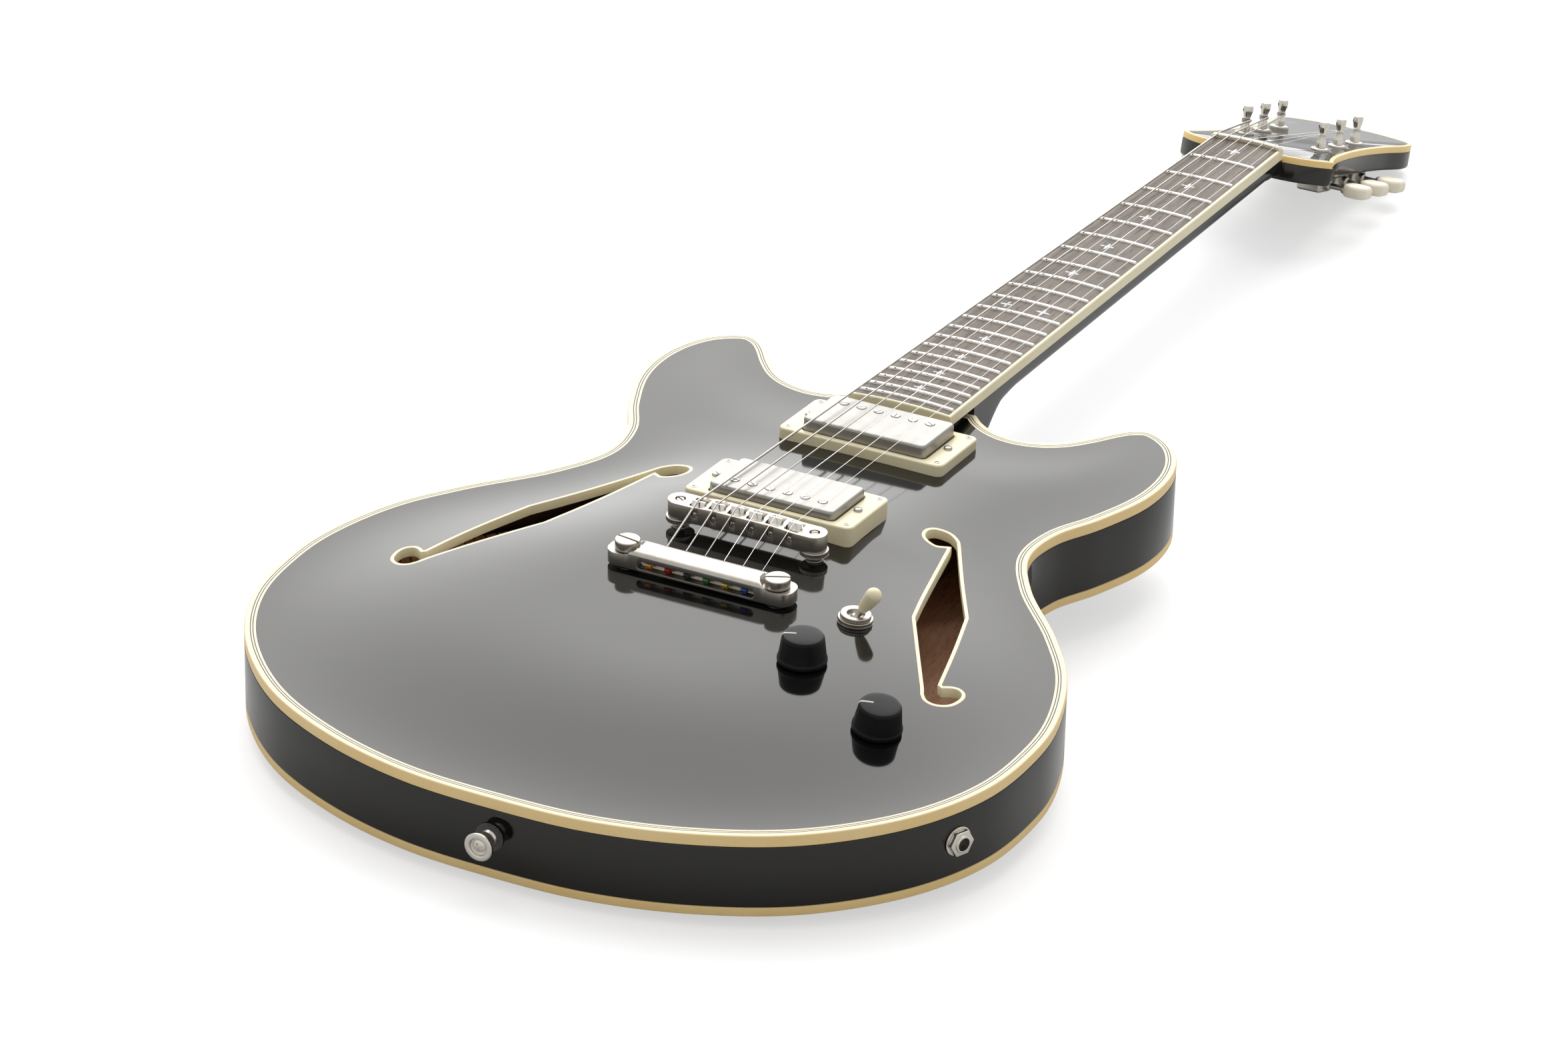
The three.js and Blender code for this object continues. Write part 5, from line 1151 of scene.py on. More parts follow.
@dataclass
class Shell:
    """The body: plates, rim, linings and bindings."""

    holes: FHole = field(default_factory=FHole)
    bores: tuple = ((-37.0, -4.2), (37.0, -4.2), (-41.0, -52.1), (41.0, -52.1))
    bore_radius: float = 4.2
    route: tuple = (93.0, 38.7, 3.0)
    pickup_places: tuple = (143.5, 39.1)
    plate_edge: float = 5.86
    thickness: float = 5.0

    def build(self) -> None:
        """Makes every piece of the body."""
        self.plates()
        self.rim()
        self.bindings()

    def plates(self) -> None:
        """The arched top with the openings that the fittings cover, and the back; bare wood inside."""
        loops = [inset(FORM.outline, self.plate_edge)]
        loops += [inset(self.holes.loop(sign), -HAIR) for sign in SIDES.values()]
        loops += [rounded_rectangle(*self.route) + [0, y] for y in self.pickup_places]
        loops += [circle(self.bore_radius, 24, *bore) for bore in self.bores]
        top = sheet(loops, FORM.top_at, lambda x, y: FORM.top_at(x, y) - self.thickness, 4.0, (0, 1))
        settle(top.make("top_plate", [GLOSS, INSIDE], 35, FORM.normals_of(FORM.top_at)),
               Slot.LACQUER, "body_top")
        back = sheet([inset(FORM.outline, 3.26)], lambda x, y: FORM.back_at(x, y) + 4.6,
                     FORM.back_at, 5.0, (1, 0))
        settle(back.make("back_plate", [BACK_GLOSS, INSIDE], 35, FORM.normals_of(FORM.back_at)),
               Slot.LACQUER, "body_back")

    def rim(self) -> None:
        """The bent side, and kerfed linings inside it: blocks with saw cuts between them."""
        corners = fillet([(3.4, -38.0), (0.0, -38.0), (0.0, -6.12), (3.4, -6.12)], 0.4)
        side = Skin().grid(swept(respaced(FORM.outline, 3.0), corners[::-1]), ring=True)
        settle(side.make("side_wall", [GLOSS], 40), Slot.LACQUER, "body_rim")
        loop = respaced(FORM.outline, 6.4)
        loop = loop[loop[:, 1] < 168]
        near, far = (loop + loop_normals(loop) * inward for inward in (3.4, 12.6))
        slope = far + (near - far) * 0.55
        skin = Skin()
        for low, high, under, over in ((-13.6, -5.2, slope, far), (-38.2, -29.6, far, slope)):
            corners = []
            for z, inner in ((low, under), (high, over)):
                first, second = (line[:-1] + (line[1:] - line[:-1]) * 0.84 for line in (near, inner))
                corners += [level(edge, z) for edge in (near[:-1], first, second, inner[:-1])]
            order = ((0, 1, 2, 3), (7, 6, 5, 4), (0, 4, 5, 1), (1, 5, 6, 2), (2, 6, 7, 3), (3, 7, 4, 0))
            base = np.arange(len(near) - 1)[:, None] * 8
            skin.add(np.stack(corners, axis=1), np.concatenate([base + np.array([side]) for side in order]))
        settle(skin.make("kerfed_lining", [LINING]), Slot.WOOD)

    def bindings(self) -> None:
        """Cream strips round the top, the back and the f-holes; the top's strip has thin black lines and a
        paler upper face, which is painted light.
        """
        top = fillet([(5.8, EDGE_DEPTH), (0.0, EDGE_DEPTH), (0.0, 0.0), (5.8, 0.0)], 0.9, 4)
        top = np.vstack([top[:-1], level(np.array(LINES_ACROSS)[:, None], 0.0), top[-1:]])[::-1]
        back = fillet([(3.2, -38.06), (0.0, -38.06), (0.0, -43.0), (3.2, -43.0)], 0.9, 4)
        loop = respaced(FORM.outline, 2.4)
        for name, pairs, finish in (("top", top, CREAM_EDGE), ("back", back, CREAM)):
            grid = swept(loop, pairs)
            skin = Skin().grid(grid, flow=flow_of(run_along(loop), pairs[:, 0], grid), ring=True)
            settle(skin.make(f"{name}_edge_binding", [finish], 50), Slot.CREAM, f"{name}_binding")
        strip = fillet([(1.9, -5.0), (0.0, -5.0), (0.0, 0.04), (1.9, 0.04), (1.9, -5.0)], 0.3, 2)[:-1][::-1]
        for side, sign in SIDES.items():
            skin = Skin().grid(swept(self.holes.loop(sign), strip, FORM.top_at), ring=True)
            settle(skin.make(f"f_hole_edge_{side}", [CREAM_PALE], 50), Slot.CREAM, f"f_hole_binding_{side}")


# The tuners' rows along the headstock, their distance from its middle and the waist of their posts.
TUNER_ROWS = (54.6, 83.7, 112.8)
TUNER_X = 24.0
POST_WAIST = 2.2


def tuner_spot(number: int) -> tuple[int, float, float]:
    """The side, x and y of a tuner on the headstock's face."""
    bass = number <= BASS_STRINGS
    sign = -1 if bass else 1
    return sign, sign * TUNER_X, TUNER_ROWS[number - 1 if bass else 6 - number]


def shaft_place(number: int) -> Place:
    """The frame of a tuner's shaft: z points out to the side, and y stays along the headstock."""
    sign, x, y = tuner_spot(number)
    middle = HEAD.moved(x, y, -19.0)
    across, along, up = np.array(middle.axes)
    return Place(middle.origin, (tuple(-sign * up), tuple(along), tuple(sign * across)))


def slot_cut(width: float, length: float, depth: float, place: Place, turn: float = 0.0) -> Array:
    """A cutter for a screwdriver slot: a long box from a depth below the place to well above it."""
    return slab(rounded_rectangle(length, width, 0.05, 1), -depth, 3.0, place=place.turned(turn))


def on_board(x: Array, y: Array, up: Optional[float], less: Array = 0.0) -> Array:
    """Points at a height over the board's round face, or on its flat underside if that is None.

    Args:
        x: distance from the middle line.
        y: distance along.
        up: the height.
        less: what is taken off the height at each point.

    Returns:
        (n, 3) points in the board's frame.
    """
    z = -BOARD_DEPTH if up is None else up - FORM.crown_drop(x) - less
    return np.stack(np.broadcast_arrays(x, y, z), axis=-1)


@dataclass
class Neck:
    """The neck with its headstock, its board and the nut."""

    head_size: tuple = (47.0, 182.0)
    head_deep: float = 14.5
    head_shares: tuple = (
        (0.468, 0.0), (0.66, 0.012), (0.86, 0.045), (1.0, 0.085), (0.94, 0.13), (0.84, 0.24),
        (0.775, 0.4), (0.765, 0.56), (0.82, 0.72), (0.92, 0.85), (0.86, 0.925), (0.62, 0.965),
        (0.36, 0.99), (0.16, 1.0),
    )
    cover_size: tuple = (11.5, 36.0)
    cover_shares: tuple = ((1.0, 0.0), (1.0, 0.3), (0.75, 0.5), (0.42, 0.72), (0.25, 0.92), (0.0, 1.0))
    frets: int = 22
    star_frets: tuple = (1, 3, 5, 7, 9, 12, 15, 17, 19, 21)
    double_fret: int = 12
    board_stop: float = FORM.scale_length - 0.3
    nut_half: float = 21.55

    def build(self) -> None:
        """Makes every piece of the neck."""
        self.shaft()
        self.housings()
        self.head()
        self.rod_cover()
        self.board()
        self.board_edge()
        self.marks()
        self.nut()

    def head_loop(self, step: float) -> Array:
        """Counter-clockwise outline of the headstock, whose shoulder is a corner."""
        half = np.array(self.head_shares) * self.head_size
        right = np.vstack([spline(half[:4], 8)[:-1], spline(half[3:], 8)])
        return respaced(np.vstack([right, mirrored(right)]), step)

    @staticmethod
    def section(y: float, width: float, depth: float, fullness: float) -> Array:
        """Half-round section: x = cos a x width / 2, z = face - depth x sin(a) to the fullness."""
        angle = np.linspace(0, math.pi, 29)
        face = FORM.crown_at(y) - (BOARD_DEPTH + 0.02) / math.cos(FORM.neck_angle)
        z = face - depth * np.sin(angle).clip(0) ** fullness
        return np.stack([np.cos(angle) * width / 2, np.full_like(angle, y), z], axis=1)

    def shaft(self) -> None:
        """The neck's back with its heel, the volute, the headstock's core and the tongue in the body."""
        start, nut = FORM.neck_joint + 0.05, FORM.nut_y
        stations = np.array([
            (start, 42.0, 0.45), (start + 17, 42.0, 0.45), (start + 26, 30.0, 0.45),
            (start + 40, 22.5, 0.8), (start + 58, 18.0, 0.8), (nut, 15.0, 0.8), (nut + 5, 15.0, 0.8),
        ])
        ys = np.unique(np.concatenate([
            np.linspace(start, start + 17, 3), np.linspace(start + 17, start + 60, 20),
            np.linspace(start + 60, nut + 5, 40)]))
        depth, fullness = (np.interp(ys, stations[:, 0], column) for column in stations.T[1:])
        middle = (ys > start + 15) & (ys < start + 70)
        for _ in range(4):
            depth, fullness = (
                np.where(middle, np.convolve(np.pad(run, 1, "edge"), (0.25, 0.5, 0.25), "valid"), run)
                for run in (depth, fullness))
        width = FORM.board_width(ys / math.cos(FORM.neck_angle))
        rings = np.stack([self.section(*row) for row in zip(ys, width, depth, fullness)])
        end = FORM.board_width(FORM.scale_length)
        t = np.linspace(0, 1, 12)
        lift = 15 + 4 * np.sin(math.pi * np.clip(t * 1.15, 0, 1) ** 0.8)
        volute = np.stack([self.section(*row, 0.8)
                           for row in zip(nut - 5 + 31 * t, end - end / 2 * ease(t), lift)])
        core = slab(self.head_loop(2.4), -self.head_deep, -4.02, 0.0, 2.2, HEAD)
        half, low, high = FORM.board_width(BOARD_END) / 2 - 4.0, 170.1, start + 16.0
        tongue = slab(np.array([(half, low), (half, high), (-half, high), (-half, low)]),
                      -BOARD_DEPTH - 6.0, -BOARD_DEPTH - 0.02, place=CROWN)
        piece = solid("neck_wood", [rings, volute, core, tongue], [NECK_GLOSS], 35)
        settle(piece, Slot.LACQUER, "neck")

    def housings(self) -> None:
        """Tuner cases on the back, the collars of their shafts and the bushings on the face."""
        grids = []
        back = -self.head_deep
        collar = [(0.0, 5.0), (3.25, 5.0), (3.25, 9.4), (2.5, 10.4), (0.0, 10.4)]
        bushing = [(0.0, -2.0), (5.8, -2.0), (5.8, 0.9), (4.9, 1.6), (3.4, 1.8), (0.0, 1.8)]
        for number in STRINGS:
            sign, x, y = tuner_spot(number)
            case = rounded_rectangle(15.0, 19.0, 2.2, 4) + [x, y]
            ears = rounded_rectangle(7.0, 26.0, 3.2, 5) + [x - sign, y]
            grids += [
                slab(case, back - 9.0, back + 0.2, 0.0, 1.4, HEAD),
                slab(ears, back - 1.3, back + 0.2, 0.0, 0.4, HEAD),
                lathe(collar, 20, shaft_place(number), 0.4),
                lathe(bushing, 36, HEAD.moved(x, y), 0.5),
            ]
        settle(solid("tuner_cases", grids, [NICKEL], 35), Slot.NICKEL, "neck")

    def head(self) -> None:
        """The headstock's glossy face and the cream strip round it."""
        loop = self.head_loop(1.6)
        face = slab(inset(loop, 2.43), -1.5, 0.0, 0.15, 0.0, HEAD, 2)
        settle(solid("head_face", [face], [GLOSS], 30), Slot.LACQUER, "headstock_face")
        corners = fillet([(2.4, -3.98), (0.0, -3.98), (0.0, 0.0), (2.4, 0.0)], 0.5)[::-1]
        strip = Skin().grid(HEAD.put(swept(loop, corners)), ring=True)
        settle(strip.make("head_edge_binding", [CREAM], 50), Slot.CREAM, "headstock_binding")

    def rod_cover(self) -> None:
        """The bell-shaped cover plate with its two screws, and a narrow pale edge."""
        half = np.array(self.cover_shares) * self.cover_size + [0, 3.0]
        right = respaced(np.vstack([half[:2], spline(half[1:], 8)[1:]]), 1.0, closed=False)
        loop = np.vstack([right, mirrored(right)[1:]])
        screw = [(0.0, 1.4), (1.7, 1.4), (1.7, 2.05), (0.8, 2.5), (0.0, 2.55)]
        grids = [(slab(loop, 0.06, 0.8, 0.1, 0.0, HEAD, 2), 1),
                 (slab(inset(loop, 0.9), 0.5, 2.05, 0.5, 0.0, HEAD, 3), 0)]
        grids += [(lathe(screw, 20, HEAD.moved(0, y), 0.4), 2) for y in (6.4, 34.2)]
        settle(solid("rod_cover_plate", grids, [GLOSS_PLASTIC, CREAM, NICKEL], 35),
               Slot.PLASTIC, "truss_rod_cover")

    @staticmethod
    def fret_at(number: int) -> float:
        """Distance of a fret from the bridge: scale x 2^(-n/12)."""
        return FORM.scale_length * 2 ** (-number / 12)

    def board(self) -> None:
        """The rosewood board and its frets: half-round wires with sloped ends on the round face."""
        along = np.linspace(170.15, self.board_stop, 60)[:, None]
        x = (FORM.board_width(along) / 2 - 1.64) * np.append(np.linspace(-1, 1, 17), (1.0, -1.0))
        points = on_board(x, along, 0.0)
        points[:, -2:, 2] = -BOARD_DEPTH
        settle(solid("board_wood", [CROWN.put(points)], [ROSEWOOD], 30), Slot.ROSEWOOD, "fretboard")
        angle = np.linspace(0, math.pi, 9)
        tall = np.array([0.25, *np.ones(17), 0.25])[:, None]
        wires = []
        for y in map(self.fret_at, range(1, self.frets + 1)):
            half = FORM.board_width(y) / 2 - 1.66
            x = np.array([-half, *np.linspace(-half + 0.9, half - 0.9, 17), half])[:, None]
            z = -FORM.crown_drop(x) + 1.1 * tall * np.sin(angle) ** 0.85 - 0.02
            wires.append(CROWN.put(np.stack(np.broadcast_arrays(x, y - 1.3 * np.cos(angle), z), axis=-1)))
        settle(solid("fret_wire", wires, [FRET], 50), Slot.NICKEL, "fretboard")

    def board_edge(self) -> None:
        """Cream strips along both sides and the board's end, in the paler cream, which is painted light on
        them.
        """
        along = np.linspace(BOARD_END, self.board_stop, 60)
        half = FORM.board_width(along) / 2
        section = ((0.0, None), (1.6, None), (1.6, 0.0), (0.45, 0.02), (0.0, -0.45))
        strips = [[on_board(sign * (half - inward), along, up) for inward, up in section]
                  for sign in SIDES.values()]
        x = np.linspace(-1, 1, 17) * (FORM.board_width(BOARD_END) / 2 - 1.55)
        section = ((BOARD_END, None), (BOARD_END, -0.45), (BOARD_END + 0.45, 0.02),
                   (170.1, 0.0), (170.1, None))
        strips.append([on_board(x, y, up) for y, up in section])
        grids = [CROWN.put(np.stack(strip, axis=1)) for strip in strips]
        settle(solid("board_edge_binding", grids, [CREAM_PALE], 40), Slot.CREAM, "fretboard_binding")

    def marks(self) -> None:
        """Small dark dots in the board's bass edge, and shell stars with hollow sides in its face."""
        dots, stars = [], []
        angle = round_angles(48)
        reach = 0.30 + 0.70 * np.abs(np.cos(angle * 2)) ** 5
        for number in self.star_frets:
            middle = (self.fret_at(number) + self.fret_at(number - 1)) / 2
            size = 4.1 if number < 15 else 3.5
            for side in ((-1, 1) if number == self.double_fret else (0,)):
                y = middle + side * 3.2
                spot = CROWN.put([-FORM.board_width(y) / 2 + 0.4, y, -3.6])
                dots.append(lathe([(0.0, -0.3), (0.95, -0.3), (0.95, 0.44), (0.0, 0.44)], 14,
                                  Place(tuple(spot), ((0, 1, 0), (0, 0, 1), (-1, 0, 0)))))
                x, y = size * reach * np.cos(angle), size * 1.12 * reach * np.sin(angle)
                rows = [on_board(side * 10.5 + x * share, middle + y * share, up)
                        for share, up in ((1.0, -0.3), (1.0, 0.03), (0.6, 0.035), (0.2, 0.035))]
                stars.append(CROWN.put(rows))
        settle(solid("side_dots", dots[1:], [SATIN]), Slot.PLASTIC)
        settle(solid("star_inlays", stars, [PEARL], 30), Slot.CREAM)

    def nut(self) -> None:
        """The nut: a round-topped bar with a slot for each string."""
        x = np.linspace(-self.nut_half, self.nut_half, 41)
        lean = FORM.crown_place(FORM.nut_y)
        worn = 1.2 * np.clip((np.abs(x) - self.nut_half + 1.2) / 1.2, 0, 1) ** 2
        section = ((0.0, None), (0.0, 1.7), (0.8, 2.25), (2.6, 2.15), (4.3, 1.2), (5.0, 0.3), (5.0, None))
        bar = lean.put(np.stack([on_board(x, y, up, worn) for y, up in section], axis=1))
        slots = []
        for number, size in zip(STRINGS, STRING_SIZES):
            sx, _, sz = FORM.string_at(number, FORM.nut_y, FORM.crown_at(FORM.nut_y))
            slots += [tube([(sx, -2.0, sz + 0.1 + up), (sx, 7.0, sz - 0.3 + up)], size / 2 + 0.12, 10, lean)
                      for up in (0.0, 0.5)]
        settle(carve(solid("nut_bar", [bar], [IVORY], 40), slots, sharp=40), Slot.CREAM, "nut")


@dataclass
class Pickup:
    """A covered humbucker in its ring."""

    name: str
    from_bridge: float
    below_crown: float
    rise: float
    pole_side: int
    cover: tuple = (69.5, 37.5, 15.0)
    ring: tuple = (93.0, 46.0)
    ring_edge: float = 1.1
    pole_step: float = 9.75
    screw_x: float = 39.45

    def build(self) -> None:
        """Makes the ring, the cover, what lies under it and the screws."""
        ring = FORM.crown_place(self.from_bridge, self.below_crown)
        cover = ring.moved(z=self.rise)
        poles = [cover.moved((n - 3.5) * self.pole_step, self.pole_side * 9.5) for n in STRINGS]
        self.make_ring(ring)
        self.make_cover(cover, poles)
        self.make_inside(cover)
        self.make_screws(ring, poles)

    def make_ring(self, place: Place) -> None:
        """The cream ring: rounded outside, open inside, its foot cut to the arch."""
        outer = self.matched(rounded_rectangle(*self.ring, 4.0, 8))
        inner = self.matched(rounded_rectangle(self.cover[0] + 1.3, self.cover[1] + 1.3, 3.2, 8))
        foot = np.zeros(len(outer))
        for _ in range(3):
            x, y, z = place.put(level(outer, foot)).T
            foot += FORM.top_at(x, y) + HAIR - z
        normal, soft = loop_normals(outer), self.ring_edge
        rows = [level(outer, foot)]
        rows += [level(outer + normal * (soft * (1 - math.cos(angle))), -soft + soft * math.sin(angle))
                 for angle in np.linspace(0, QUARTER, 6)]
        rows += [level(outer + (inner - outer) * share, z)
                 for share, z in ((0.75, 0.0), (0.9, -0.02), (1.0, -0.35))]
        rows.append(level(inner, foot - 2.0))
        skin = Skin().grid(place.put(rows), ring=True)
        settle(skin.make(f"ring_{self.name}", [CREAM_RING], 38), Slot.CREAM, f"pickup_ring_{self.name}")

    @staticmethod
    def matched(loop: Array, count: int = 144) -> Array:
        """A loop resampled by angle round the middle, so that two loops pair up point by point."""
        dense = respaced(loop, 0.4)
        angle = np.mod(np.unwrap(np.arctan2(dense[:, 1], dense[:, 0])), WHOLE)
        order = np.argsort(angle)
        return np.stack([np.interp(round_angles(count), angle[order], column[order], period=WHOLE)
                         for column in dense.T], axis=1)

    def make_cover(self, place: Place, poles: Sequence[Place]) -> None:
        """The pressed nickel cover: soft corners, hollow, with a hole for each pole screw."""
        long, wide, tall = self.cover
        shell = slab(rounded_rectangle(long, wide, 3.2, 8), -tall, 0.0, 1.7, 0.0, place, 7)
        piece = solid(f"cover_{self.name}", [shell], [COVER_NICKEL], 40)
        hollow = slab(rounded_rectangle(long - 1.7, wide - 1.7, 2.4, 6), -tall - 2, -1.0, 1.2, 0.0, place)
        holes = [lathe([(2.62, -1.4), (2.62, 1.0)], 28, pole) for pole in poles]
        for cutters in ([hollow], holes):
            carve(piece, cutters, sharp=40)
        settle(piece, Slot.NICKEL, f"pickup_cover_{self.name}")

    def make_inside(self, place: Place) -> None:
        """The taped coils and the metal base with its two ears."""
        long, wide, tall = self.cover
        layers = (
            (rounded_rectangle(long - 3.0, wide - 3.0, 4.0), -tall - 0.2, -2.2, 0.8, 0.0),
            (rounded_rectangle(long, wide, 3.0, 4), -tall - 1.7, -tall - 0.3, 0.3, 0.3),
            (rounded_rectangle(2 * self.screw_x + 7, 12.0, 3.0, 4), -tall - 1.65, -tall - 0.35, 0.2, 0.2),
        )
        grids = [(slab(*layer, place), min(k, 1)) for k, layer in enumerate(layers)]
        settle(solid(f"coils_{self.name}", grids, [COIL, NICKEL]), Slot.COIL, f"pickup_coils_{self.name}")

    def make_screws(self, ring: Place, poles: Sequence[Place]) -> None:
        """Pole screws through the cover, two height screws and four small corner screws."""
        pole_head = [(0.0, -13.0), (2.4, -13.0), (2.4, 0.38), (0.0, 0.42)]
        side_head = [(0.0, -0.3), (2.3, -0.3), (2.3, 0.9), (1.6, 1.45), (0.0, 1.6)]
        corner_head = [(0.0, -0.3), (1.5, -0.3), (1.5, 0.1), (0.9, 0.42), (0.0, 0.48)]
        grids, cuts = [], []
        for pole, turn in zip(poles, np.linspace(0.2, 2.6, 6) * self.pole_side):
            grids.append(lathe(pole_head, 28, pole, 0.35))
            cuts.append(slot_cut(0.6, 6.0, 0.55, pole.moved(z=0.42), turn))
        for sign in SIDES.values():
            place = ring.moved(sign * self.screw_x)
            grids.append(lathe(side_head, 28, place, 0.35))
            cuts.append(slot_cut(0.65, 6.0, 0.8, place.moved(z=1.5), 0.6 * sign))
            for end in (-1, 1):
                place = ring.moved(sign * (self.ring[0] / 2 - 4.2), end * (self.ring[1] / 2 - 4.2))
                grids.append(lathe(corner_head, 20, place, 0.3))
                cuts += [slot_cut(0.4, 1.9, 0.4, place.moved(z=0.45), 0.5 + sign * end + turn)
                         for turn in (0, QUARTER)]
        piece = carve(solid(f"screws_{self.name}", grids, [STEEL], 35), cuts, sharp=35)
        settle(piece, Slot.NICKEL, f"pickup_coils_{self.name}", f"pickup_ring_{self.name}")


@dataclass
class Bridge:
    """The bridge on its two posts, with six saddles that slide."""

    y: float = -4.2
    length: float = 86.6
    width: float = 12.8
    low: float = 18.8
    high: float = 27.5
    pocket_floor: float = 20.6
    crown: float = 0.9
    post_x: float = 37.0
    screw_z: float = 23.8
    compensation: tuple = (-1.2, -0.4, 0.4, -0.6, 0.2, 0.9)

    def build(self) -> None:
        """Makes the body, the screws, the saddles and the posts."""
        rears = [from_rear(FORM.string_x(number, self.y), self.y, self.screw_z) for number in STRINGS]
        self.bar(rears)
        self.screws(rears)
        for number in STRINGS:
            self.saddle(number)
        for side, sign in SIDES.items():
            self.post(side, sign)

    def top(self, x: Array, y: Array) -> Array:
        """Height of the bar: raised in the middle, level at the posts."""
        return self.high + self.crown * ease((30.6 - np.abs(x)) / 15.3) + 0 * y

    def bar(self, rears: Sequence[Place]) -> None:
        """The cast bar: round ends, a pocket for each saddle and a bore through to each post."""
        half = self.width / 2
        loop = respaced(rounded_rectangle(self.length, self.width, half - 0.05, 16), 1.3) + [0, self.y]
        piece = sheet([loop], self.top, lambda x, y: self.low + 0 * x, 2.6).make("bridge_bar", [NICKEL], 35)
        cuts = []
        for rear in rears:
            pocket = rounded_rectangle(8.0, 9.8, 1.0, 3) + [rear.origin[0], self.y]
            cuts.append(slab(pocket, self.pocket_floor, 32.0))
            cuts.append(lathe([(1.85, half - 1.3), (1.85, half + 3.0)], 20, rear))
        cuts += [lathe([(2.75, 10.0), (2.75, 32.0)], 28, LEVEL.moved(sign * self.post_x, self.y))
                 for sign in SIDES.values()]
        settle(carve(piece, cuts, bevel=0.45), Slot.NICKEL, "bridge_body")

    def screws(self, rears: Sequence[Place]) -> None:
        """Six long screws with slotted heads that face the tail."""
        reach = self.width / 2
        stem = [(0.0, -reach + 0.8), (0.75, -reach + 0.8), (0.75, reach - 1.0), (0.0, reach - 1.0)]
        head = [(0.0, reach - 1.26), (1.45, reach - 1.26), (1.45, reach - 0.6), (0.8, reach - 0.2),
                (0.0, reach - 0.15)]
        grids, cuts = [], []
        for number, rear in zip(STRINGS, rears):
            grids += [lathe(stem, 14, rear, 0.1), lathe(head, 24, rear, 0.25)]
            cuts.append(slot_cut(0.45, 5.0, 0.5, rear.moved(z=reach - 0.15), 0.45 * number))
        settle(carve(solid("bridge_screws", grids, [STEEL], 35), cuts, sharp=35), Slot.STEEL, "bridge_body")

    def saddle(self, number: int) -> None:
        """A saddle: square base, sides that lean in to a round ridge, and a notch for its string."""
        x = FORM.string_x(number, self.y)
        y = self.y + self.compensation[number - 1]
        radius = STRING_SIZES[number - 1] / 2
        base, shoulder = self.pocket_floor + 0.2, 26.2
        under = FORM.string_z(number, self.y + 2.8) - radius - 0.1
        ridge = under + 0.45
        knots = [(-2.5, base), (2.5, base), (2.5, shoulder), (0.55, ridge), (-0.55, ridge), (-2.5, shoulder),
                 (-2.5, base)]
        body = slab(fillet(knots, 0.8)[:-1], -3.7, 3.7, 0.55, 0.55, from_side(x, y, 0.0))
        piece = solid(f"saddle_block_{number}", [body], [POLISHED], 38)
        wide, sx = radius + 0.1, FORM.string_x(number, y)
        path = ((-5.0, -0.35), (0.0, 0.0), (5.0, 0.0))
        notch = np.array([(sx, y + run, under + wide + up) for run, up in path])
        bore = tube([(x, y - 6, self.screw_z), (x, y + 6, self.screw_z)], 1.05, 16)
        for cutter in (tube(notch, wide, 10), tube(notch + [0, 0, 0.5], wide, 10), bore):
            carve(piece, [cutter], sharp=38)
        settle(piece, Slot.NICKEL, f"saddle_{number}", body=f"saddle_{number}")

    def post(self, side: str, sign: int) -> None:
        """A threaded post with its knurled wheel and the bushing it screws into."""
        place = LEVEL.moved(sign * self.post_x, self.y)
        seat = float(FORM.top_at(sign * self.post_x, self.y))
        top = self.low - 0.02
        wheel = [(radius, top - down, teeth) for radius, down, teeth in (
            (2.2, 3.2, 0), (6.2, 3.2, 0), (7.0, 3.0, 0), (7.2, 2.8, 0), (7.2, 2.7, 0.5), (7.2, 0.6, 0.5),
            (7.2, 0.5, 0), (7.0, 0.2, 0), (6.2, 0, 0), (2.2, 0, 0))]
        heights = [seat + 1.2 + 0.4 * k for k in range(12)]
        thread = [(2.3 - 0.3 * (k % 2), z) for k, z in enumerate(heights) if z < top - 3.1]
        stem = [(0.0, seat - 9.0), (2.2, seat - 9.0), (2.2, seat + 1.0), *thread, (2.2, top - 3.0),
                (2.2, 26.7), (1.8, 27.2), (0.0, 27.3)]
        flange = [(radius, seat + up) for radius, up in (
            (0.0, -12.0), (3.4, -12.0), (3.4, 0.1), (4.6, 0.1), (4.6, 0.7), (4.0, 0.95), (0.0, 1.0))]
        grids = [lathe(wheel, 4 * 44, place), lathe(stem, 28, place), lathe(flange, 32, place, 0.2)]
        piece = solid(f"bridge_post_wheel_{side}", grids, [NICKEL], 40)
        carve(piece, [slot_cut(0.9, 8.0, 0.9, place.moved(z=27.3), 0.5 * sign)], sharp=40)
        settle(piece, Slot.NICKEL, f"bridge_post_{side}")


